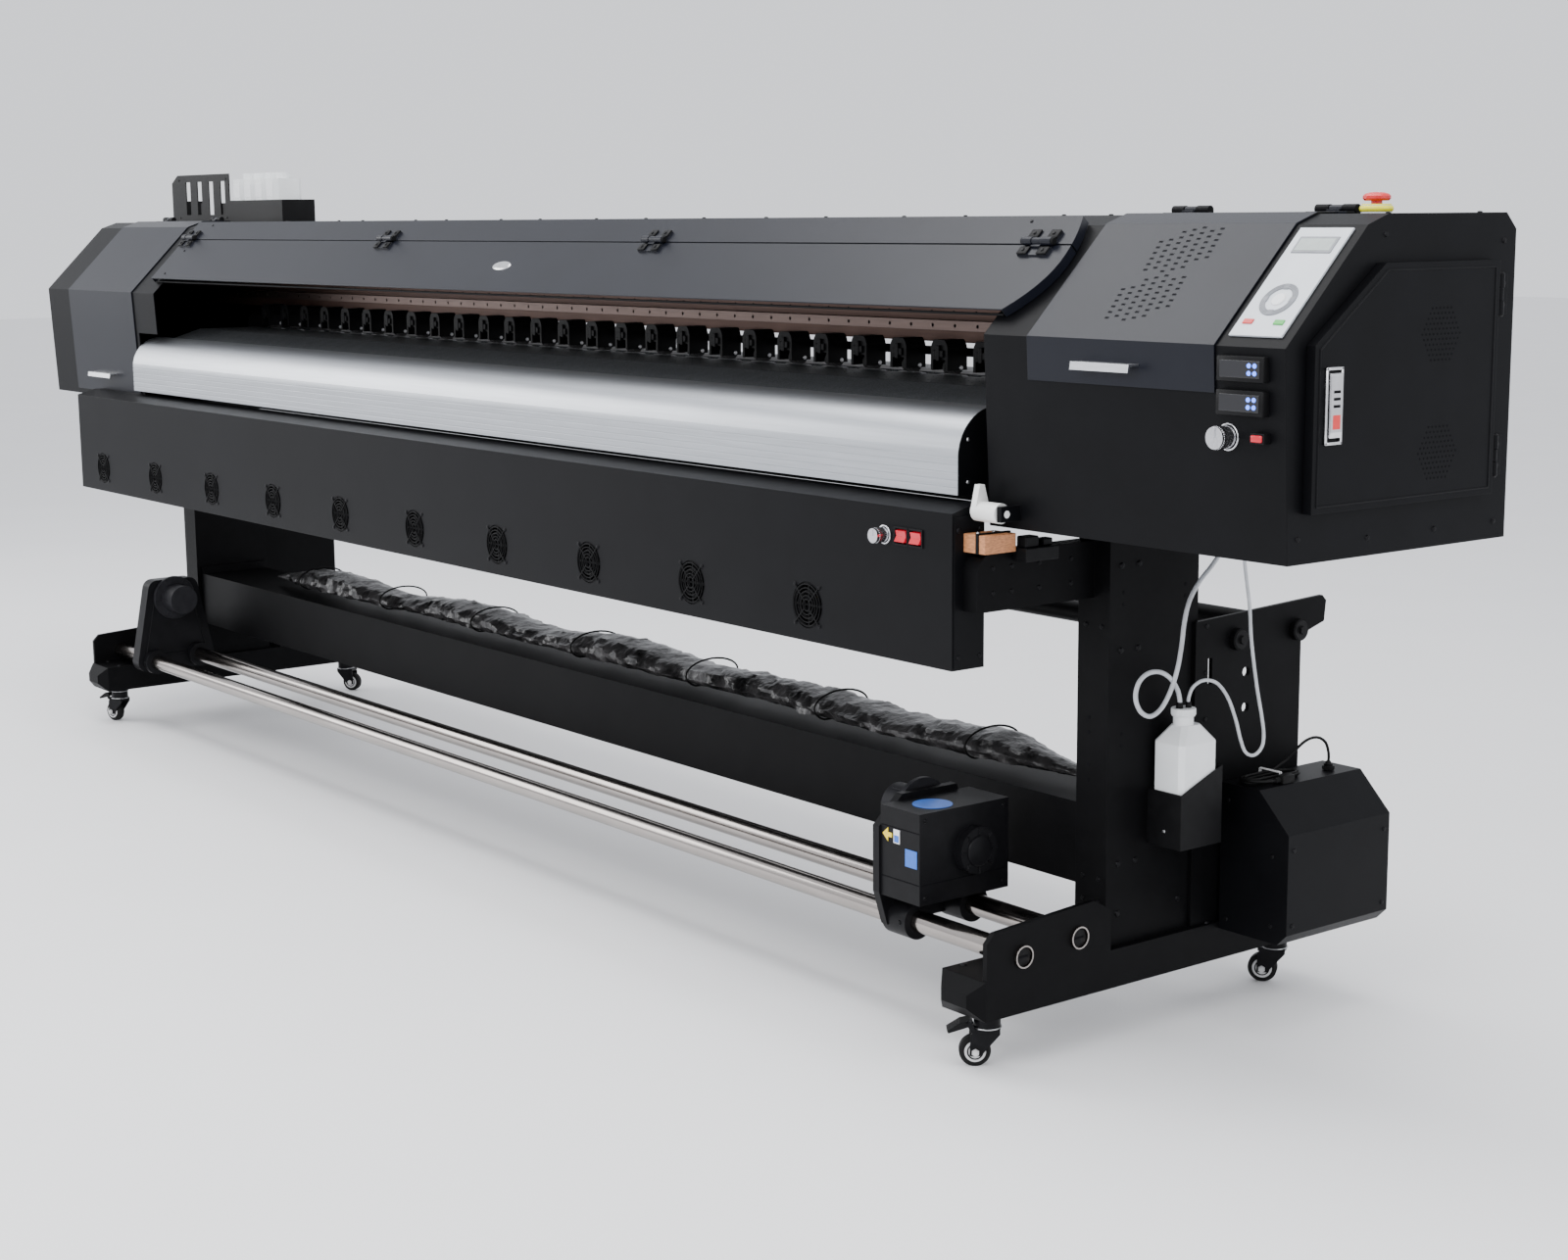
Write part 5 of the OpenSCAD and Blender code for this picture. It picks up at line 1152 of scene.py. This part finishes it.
        # crumpled film-wrapped loom along the cross beam
        x0, x1 = LO["cross_beam"].x + 0.34, HI["cross_beam"].x - 0.045
        bm = start()
        sides, rings = 22, 520
        bmesh.ops.create_circle(bm, segments=sides, radius=1.0)
        ring = bm.edges[:]
        for i in range(rings):
            grown = bmesh.ops.extrude_edge_only(bm, edges=ring)["geom"]
            ring = [e for e in grown if isinstance(e, bmesh.types.BMEdge)]
            verts = [v for v in grown if isinstance(v, bmesh.types.BMVert)]
            bmesh.ops.translate(bm, vec=(0, 0, 1.0), verts=verts)
        for v in bm.verts:
            t = v.co.z / rings
            x = x0 + (x1 - x0) * t
            a = math.atan2(v.co.y, v.co.x)
            taper = min(1.0, 12 * t + 0.15, 12 * (1 - t) + 0.15)
            drift = noise.noise(Vector((x * 1.3, 2.0, 5.0)))
            wide = (0.050 + 0.014 * noise.noise(Vector((x * 2.1, 7.0, 1.0)))) * taper
            high = (0.021 + 0.007 * noise.noise(Vector((x * 3.1, 3.0, 9.0)))) * taper
            crease = noise.noise(Vector((x * 16, 4.5 * math.cos(a), 4.5 * math.sin(a))))
            fine = noise.noise(Vector((x * 55, 12 * math.cos(a), 12 * math.sin(a))))
            swell = 1 + 0.38 * abs(crease) + 0.16 * abs(fine)
            y = -0.028 + 0.026 * drift + wide * swell * math.cos(a)
            z = beam_top + high + high * swell * math.sin(a)
            v.co = Vector((x, y, max(z, beam_top + 0.0006)))
        for end in [e for e in bm.edges if e.is_boundary]:
            end.seam = True
        bmesh.ops.holes_fill(bm, edges=[e for e in bm.edges if e.is_boundary], sides=0)
        piece("wrapped_loom", bm, "root", "film_dark", smooth=True)
        bm = start()
        for x in [x0 + 0.25 + i * (x1 - x0 - 0.5) / 6 for i in range(7)]:
            for k in range(28):
                a, b = math.tau * k / 28, math.tau * (k + 1) / 28
                y0 = -0.028 + 0.026 * noise.noise(Vector((x * 1.3, 2.0, 5.0)))
                add_rod(bm,
                        (x, y0 + 0.066 * math.cos(a), beam_top + max(0.0012, 0.024 + 0.030 * math.sin(a))),
                        (x, y0 + 0.066 * math.cos(b), beam_top + max(0.0012, 0.024 + 0.030 * math.sin(b))),
                        0.0020, sides=6)
        piece("loom_straps", bm, "root", "cable_black", smooth=True)
        return {"FINISHED"}


CORNERS = ("fl", "fr", "rl", "rr")


class PRINTER_OT_casters(bpy.types.Operator):
    """Hubs, bearing caps, tread lines and mounting plates of the four casters"""

    bl_idname = "printer.casters"
    bl_label = "Casters"

    def execute(self, context):
        for corner in CORNERS:
            swivel, hub = AXIS[f"swivel_{corner}"], AXIS[f"wheel_{corner}"]
            axle = Vector(next(j["axis"] for j in frame["joints"] if j["name"] == f"wheel_{corner}"))
            bm = start()
            for s in (-1, 1):
                add_rod(bm, hub + axle * s * 0.0106, hub + axle * s * 0.0121, 0.0175, 0.0165, sides=40)
                add_ring(bm, hub + axle * s * 0.0112, axle, 0.0165, 0.0012, sides=40)
            piece(f"hub_{corner}", bm, f"caster_wheel_{corner}", "hub_white", smooth=True)
            # near-black rings: painted shade in the hub grooves and tread lines
            bm = start()
            for s in (-1, 1):
                add_ring(bm, hub + axle * s * 0.0123, axle, 0.0125, 0.0011, sides=36)
            for across in (-0.0055, 0.0, 0.0055):
                add_ring(bm, hub + axle * across, axle, 0.0254, 0.00055, sides=72, wire_sides=5)
            piece(f"tread_{corner}", bm, f"caster_wheel_{corner}", "slot_dark", smooth=True)
            bm = start()
            for s in (-1, 1):
                tip = hub + axle * s * 0.0175
                add_rod(bm, tip, tip + axle * s * 0.0040, 0.0068, 0.0055, sides=6)
                add_rod(bm, tip + axle * s * 0.0040, tip + axle * s * 0.0052, 0.0035, sides=14)
            piece(f"axle_nuts_{corner}", bm, f"caster_fork_{corner}", "hub_white",
                  smooth=True)
            bm = start()
            add_box(bm, (swivel.x - 0.040, swivel.y - 0.032, 0.0945),
                    (swivel.x + 0.040, swivel.y + 0.032, 0.0976),
                    bevel=0.0008)
            piece(f"caster_plate_{corner}", bm, "root", "caster_steel")
            bm = start()
            for z, r in ((0.0905, 0.0225), (0.0850, 0.0228), (0.0660, 0.0228)):
                add_ring(bm, (swivel.x, swivel.y, z), Z, r, 0.0014, sides=48)
            piece(f"swivel_rings_{corner}", bm, f"caster_fork_{corner}", "screw_steel",
                  smooth=True)
        for side, corner in (("l", "fl"), ("r", "fr")):
            pivot = AXIS[f"brake_{side}"]
            swivel = AXIS[f"swivel_{corner}"]
            out = Vector((pivot.x - swivel.x, pivot.y - swivel.y, 0)).normalized()
            along = Vector((-out.y, out.x, 0))
            bm = start()
            for k in range(5):
                at = pivot + out * (0.016 + 0.0042 * k) + Z * (0.0010 - 0.0028 * k)
                add_rod(bm, at - along * 0.0125, at + along * 0.0125, 0.0011, sides=8)
            piece(f"brake_ribs_{side}", bm, f"brake_pedal_{side}", "pedal_black", smooth=True)
        return {"FINISHED"}


# ---------------------------------------------------------------- take-up


class PRINTER_OT_takeup(bpy.types.Operator):
    """Plates, motor cap, screws, ribs and bore rings of the take-up heads"""

    bl_idname = "printer.takeup"
    bl_label = "Take-up"

    def execute(self, context):
        lo, hi = LO["takeup_drive"], HI["takeup_drive"]
        spindle = Vector((0, (LO["idler_flange"].y + HI["idler_flange"].y) / 2,
                          (LO["idler_flange"].z + HI["idler_flange"].z) / 2))
        body_lo, body_hi = Vector((lo.x + 0.016, -0.366, 0.236)), Vector((hi.x - 0.018, -0.168, 0.392))
        bm = start()
        for z in (body_lo.z + 0.034, body_hi.z - 0.034):
            add_box(bm, (body_lo.x + 0.002, body_lo.y - 0.0008, z), (body_hi.x - 0.002, body_lo.y + 0.0012,
                                                                    z + 0.0012))
        add_box(bm, (body_hi.x - 0.0012, body_lo.y + 0.006, body_lo.z + 0.034),
                (body_hi.x + 0.0006, body_hi.y - 0.006,
                                                                                 body_lo.z + 0.0352))
        piece("drive_seams", bm, "takeup_drive", "slot_dark")
        bm = start()
        add_box(bm, (body_lo.x + 0.034, body_lo.y - 0.0012, body_hi.z - 0.060),
                (body_lo.x + 0.050, body_lo.y - 0.0001, body_hi.z - 0.036), bevel=0.0004)
        piece("drive_plate_white", bm, "takeup_drive", "label_white")
        bm = start()
        add_box(bm, (body_lo.x + 0.036, body_lo.y - 0.0016, body_hi.z - 0.058),
                (body_lo.x + 0.048, body_lo.y - 0.0011, body_hi.z - 0.046), bevel=0.0002)
        add_box(bm, (body_hi.x - 0.036, body_lo.y - 0.0012, body_hi.z - 0.094),
                (body_hi.x - 0.006, body_lo.y - 0.0001, body_hi.z - 0.064), bevel=0.0004)
        add_rod(bm, (0, 0, 0), (0, 0, 0.0009), 1.0, sides=64)
        oval = [v for v in bm.verts if abs(v.co.x) < 1.01 and abs(v.co.y) < 1.01 and v.co.z < 0.1]
        for v in oval:
            v.co = Vector((body_lo.x + 0.056 + 0.034 * v.co.x, -0.300 + 0.034 * v.co.y,
                           body_hi.z + 0.0002 + v.co.z))
        piece("drive_plates_blue", bm, "takeup_drive", "label_blue")
        bm = start()
        flag = [bm.verts.new((body_lo.x + x, body_lo.y - 0.0002, body_hi.z - z))
                for x, z in ((0.030, 0.044), (0.020, 0.044), (0.020, 0.036), (0.006, 0.048), (0.020, 0.060),
                             (0.020, 0.052), (0.030, 0.052))]
        face = bm.faces.new(flag)
        grown = bmesh.ops.extrude_face_region(bm, geom=[face])["geom"]
        bmesh.ops.translate(bm, vec=(0, -0.0009, 0),
                            verts=[v for v in grown if isinstance(v, bmesh.types.BMVert)])
        piece("drive_arrow", bm, "takeup_drive", "label_yellow")

        # motor cap with ribs and its four screws
        centre = Vector((hi.x, -0.250, 0.316))
        bm = start()
        add_rod(bm, centre, centre + X * 0.004, 0.027, 0.025, sides=48, bevel=0.001)
        for k in range(8):
            a = math.tau * k / 8
            out = Vector((0, math.cos(a), math.sin(a)))
            add_rod(bm, centre + X * 0.0008 + out * 0.028, centre + X * 0.0008 + out * 0.038, 0.0014, sides=8)
        piece("motor_cap", bm, "takeup_drive", "takeup_black", smooth=True)
        around = [centre + Vector((0, 0.034 * math.cos(a), 0.034 * math.sin(a)))
                  for a in (math.radians(45 + 90 * k) for k in range(4))]
        screws("motor_screws", "takeup_drive", around, X, 0.0036, "screw_black")
        corners = [Vector((body_hi.x, y, z)) for y in (body_lo.y + 0.012, body_hi.y - 0.012)
                   for z in (body_lo.z + 0.012, body_hi.z - 0.012)]
        screws("drive_screws", "takeup_drive", corners, X, 0.0042, "screw_black")
        for name, node in (("clamp_screws", "takeup_drive"), ("idler_clamp_screws", "takeup_idler")):
            clamp = Vector((LO[node].x + 0.046, FRONT_TUBE[0] - 0.0315, FRONT_TUBE[1]))
            screws(name, node, [clamp], -Y, 0.005, "screw_black")

        # sloping rim and rings on the idler's two faces, and on the drive's inner face
        for name, node, faces in (("idler_ribs", "takeup_idler",
                                   (LO["takeup_idler"].x, LO["takeup_idler"].x + 0.040)),
                                  ("drive_ribs", "takeup_drive", (lo.x,))):
            bm = start()
            top = 0.372 if node == "takeup_idler" else 0.380
            outline = [(-0.342, 0.208), (-0.170, 0.208), (-0.206, top), (-0.308, top)]
            for n, x in enumerate(faces):
                for (y0, z0), (y1, z1) in zip(outline, outline[1:] + outline[:1]):
                    add_rod(bm, (x, y0, z0), (x, y1, z1), 0.0022, sides=8)
                for radius in (0.040, 0.022) if (n == 0 and node == "takeup_idler") else (0.040,):
                    add_ring(bm, (x, spindle.y, spindle.z), X, radius, 0.0018, sides=64)
            piece(name, bm, node, "takeup_black", smooth=True)

        # ribs and slots of the two core flanges
        for name, node, side in (("drive_flange_ribs", "drive_flange", -1),
                                 ("idler_flange_ribs", "idler_flange", 1)):
            bm = start()
            if node == "drive_flange":
                x = HI["drive_flange"].x - 0.046 - 0.009
            else:
                x = LO["idler_flange"].x + 0.038 + 0.009
            for k in range(6):
                a = math.tau * k / 6
                out = Vector((0, math.cos(a), math.sin(a)))
                base = Vector((x, spindle.y, spindle.z))
                add_rod(bm, base + out * 0.039, base + out * 0.054, 0.0016, sides=8)
                add_rod(bm, base + out * 0.0372 + X * side * 0.004, base + out * 0.0372 + X * side * 0.052,
                        0.0013,
                        sides=8)
            add_ring(bm, (x, spindle.y, spindle.z), X, 0.0562, 0.0013, sides=72)
            piece(name, bm, node, "flange_grey", smooth=True)
        return {"FINISHED"}


# ---------------------------------------------------------------- rear, ink and waste


class PRINTER_OT_rear(bpy.types.Operator):
    """Louvres, cover screws, power inlet, tube caps and plate screws at the back"""

    bl_idname = "printer.rear"
    bl_label = "Rear"

    def execute(self, context):
        back = HI["rear_cover"].y
        # near-black strips: painted shade between the louvres
        bm = start()
        for group in range(6):
            x0 = CAP + 0.24 + group * 0.50
            for row in range(5):
                z = ROOF - 0.150 + 0.016 * row
                add_box(bm, (x0, back - 0.0012, z), (x0 + 0.200, back + 0.0005, z + 0.0040), bevel=0.0004)
        piece("cover_louvres", bm, "root", "slot_dark")
        places = [Vector((CAP + 0.05 + i * (BOX - CAP - 0.1) / 14, back, ROOF - 0.205)) for i in range(15)]
        screws("rear_cover_screws", "root", places, Y)
        box_back = HI["right_box"].y
        places = [Vector((x, box_back, z)) for x in (BOX + 0.03, BOX + 0.30, END - 0.03)
                  for z in (BODY_Z + 0.04, ROOF - 0.06)]
        places += [Vector((x, HI["left_cap"].y, z)) for x in (-END + 0.03, CAP - 0.30, CAP - 0.03)
                   for z in (BODY_Z + 0.05, ROOF - 0.06)]
        screws("box_back_screws", "root", places, Y)

        # power inlet with its switch, and a row of connectors, on the right box
        x, z = END - 0.16, BODY_Z + 0.09
        bm = start()
        add_box(bm, (x - 0.036, box_back + 0.0001, z - 0.026), (x + 0.036, box_back + 0.0040, z + 0.026),
                bevel=0.0012)
        add_box(bm, (x - 0.118, box_back + 0.0001, z - 0.014), (x - 0.060, box_back + 0.0026, z + 0.014),
                bevel=0.0008)
        piece("power_inlet", bm, "root", "pinch_black")
        # near-black openings of the inlet and connectors: painted shade of the sockets
        bm = start()
        add_box(bm, (x - 0.030, box_back + 0.0032, z - 0.018), (x - 0.002, box_back + 0.0044, z + 0.018),
                bevel=0.0008)
        for k in range(3):
            add_box(bm, (x - 0.112 + 0.017 * k, box_back + 0.0020, z - 0.009),
                    (x - 0.101 + 0.017 * k, box_back + 0.0029, z + 0.009), bevel=0.0004)
        piece("inlet_openings", bm, "root", "slot_dark")
        bm = start()
        add_box(bm, (x + 0.006, box_back + 0.0036, z - 0.014), (x + 0.026, box_back + 0.0072, z + 0.014),
                bevel=0.0012)
        piece("inlet_switch", bm, "root", "rocker_red")

        # rear plates: caps and nuts on the tubes, and screws
        bm = start()
        for y, z in ((0.178, 0.650), (0.330, 0.650)):
            for x, s in ((HI["rear_feed_frame"].x, 1), (LO["rear_feed_frame"].x, -1)):
                add_rod(bm, (x, y, z), (x + s * 0.0012, y, z), 0.0168, 0.0155, sides=40)
                add_rod(bm, (x + s * 0.0012, y, z), (x + s * 0.006, y, z), 0.0080, 0.0072, sides=6)
        piece("rear_tube_caps", bm, "root", "pinch_black", smooth=True)
        for side, x, out in (("right", LEG_R + 0.044, X), ("left", LEG_L - 0.044, -X)):
            places = [Vector((x, 0.105, z)) for z in (0.44, 0.52, 0.60, 0.68)]
            screws(f"rear_plate_screws_{side}", "root", places, out, 0.0045, "screw_black")
        return {"FINISHED"}


class PRINTER_OT_ink(bpy.types.Operator):
    """Ribs of the ink bottle caps, their plain labels, and the rack's brackets"""

    bl_idname = "printer.ink"
    bl_label = "Ink bottles"

    def execute(self, context):
        lo, hi = LO["ink_bottles"], HI["ink_bottles"]
        ribs, labels = start(), start()
        for k in range(4):
            x = lo.x + 0.031 + 0.068 * k
            add_cap_ribs(ribs, Vector((x, 0.094, hi.z)), 30, 0.0190, 0.0145, 0.0015)
            add_ring(ribs, (x, 0.094, hi.z - 0.0152), Z, 0.0192, 0.0009, sides=40)
            add_box(labels, (x - 0.020, lo.y - 0.0006, lo.z + 0.062),
                    (x + 0.020, lo.y + 0.0002, lo.z + 0.098),
                    bevel=0.0002)
        piece("bottle_cap_ribs", ribs, "root", "bottle_white", smooth=True)
        piece("bottle_labels", labels, "root", "label_white")
        rack = LO["ink_rack"]
        places = [Vector((rack.x + dx, 0.046, ROOF + dz)) for dx in (0.05, 0.36) for dz in (0.012, 0.118)]
        screws("rack_screws", "root", places, -Y, 0.0036)
        bm = start()
        for x in (rack.x + 0.060, rack.x + 0.200, rack.x + 0.330):
            add_box(bm, (x - 0.016, 0.0495, ROOF + 0.003), (x + 0.016, 0.0520, ROOF + 0.052), bevel=0.0008)
        piece("rack_brackets", bm, "root", "rack_black")
        return {"FINISHED"}


class PRINTER_OT_waste(bpy.types.Operator):
    """Cap ribs of the waste bottle, hose fittings, box screws and the lead's gland nut"""

    bl_idname = "printer.waste"
    bl_label = "Waste and side box"

    def execute(self, context):
        sizes = context.scene.printer_sizes
        centre = Vector(((LO["waste_bottle"].x + HI["waste_bottle"].x) / 2, 0.020, HI["waste_bottle"].z))
        bm = start()
        add_cap_ribs(bm, centre, 34, 0.0200, 0.0105, 0.0008)
        add_ring(bm, centre - Z * 0.0122, Z, 0.0184, 0.0012, sides=40)
        piece("waste_cap_ribs", bm, "root", "bottle_white", smooth=True)
        # tapered sleeves where the hoses leave the box and enter the bottle
        bm = start()
        for route, diameter in ((HOSE_A, sizes.hose_a), (HOSE_B, sizes.hose_b)):
            top, end = Vector(route[0]), Vector(route[-1])
            add_rod(bm, top + Z * 0.0002, top - Z * 0.016, diameter * 0.5 + 0.0035, diameter * 0.5 + 0.0012,
                    sides=24)
            add_rod(bm, end + Z * 0.0002, end + Z * 0.010, diameter * 0.5 + 0.0022, diameter * 0.5 + 0.0008,
                    sides=24)
        piece("hose_sleeves", bm, "root", "pinch_black", smooth=True)

        lo, hi = LO["aux_box"], HI["aux_box"]
        places = [Vector((hi.x, y, z)) for y in (lo.y + 0.014, hi.y - 0.014) for z in (lo.z + 0.035,
                                                                                       lo.z + 0.165)]
        screws("side_box_screws", "root", places, X, 0.0045, "screw_black")
        places = [Vector((lo.x + dx, lo.y, z)) for dx, z in ((0.016, lo.z + 0.02), (0.016, hi.z - 0.040),
                                                             (0.115, lo.z + 0.03), (0.115, lo.z + 0.150))]
        screws("side_box_front_screws", "root", places, -Y, 0.0042, "screw_black")
        bm = start()
        gland = Vector(LEAD[0])
        add_rod(bm, gland - Z * 0.011, gland - Z * 0.004, 0.0108, sides=6)
        add_rod(bm, gland - Z * 0.003, gland + Z * 0.004, 0.0072, 0.0042, sides=24)
        piece("gland_nut", bm, "root", "pinch_black")
        places = [Vector((LO["bottle_holder"].x + 0.038, -0.022, 0.352))]
        screws("holder_screws", "root", places, -Y, 0.0036, "screw_steel")
        return {"FINISHED"}


# ---------------------------------------------------------------- panel and registration


class PRINTER_PT_build(bpy.types.Panel):
    """Buttons that build the printer, one group at a time"""

    bl_idname = "PRINTER_PT_build"
    bl_label = "Roll-to-roll printer"
    bl_space_type = "VIEW_3D"
    bl_region_type = "UI"
    bl_category = "Printer"

    def draw(self, context):
        column = self.layout.column(align=True)
        for operator in OPERATORS:
            column.operator(operator.bl_idname)
        for group in (context.scene.printer_colours, context.scene.printer_sizes):
            box = self.layout.box()
            for name in group.__annotations__:
                box.prop(group, name)


OPERATORS = (PRINTER_OT_stage, PRINTER_OT_cords, PRINTER_OT_finishes, PRINTER_OT_lid, PRINTER_OT_hoods,
             PRINTER_OT_panel, PRINTER_OT_door, PRINTER_OT_print_zone, PRINTER_OT_carriage, PRINTER_OT_duct,
             PRINTER_OT_stand, PRINTER_OT_casters, PRINTER_OT_takeup, PRINTER_OT_rear, PRINTER_OT_ink,
             PRINTER_OT_waste)
CLASSES = (PrinterColours, PrinterSizes) + OPERATORS + (PRINTER_PT_build,)


def register():
    for cls in CLASSES:
        bpy.utils.register_class(cls)
    bpy.types.Scene.printer_colours = PointerProperty(type=PrinterColours)
    bpy.types.Scene.printer_sizes = PointerProperty(type=PrinterSizes)


def unregister():
    del bpy.types.Scene.printer_sizes
    del bpy.types.Scene.printer_colours
    for cls in reversed(CLASSES):
        bpy.utils.unregister_class(cls)


def main():
    """Build the printer."""
    register()
    FINISH.update(make_finishes())
    for operator in OPERATORS:
        group, name = operator.bl_idname.split(".")
        getattr(getattr(bpy.ops, group), name)()


if __name__ == "__main__":
    main()
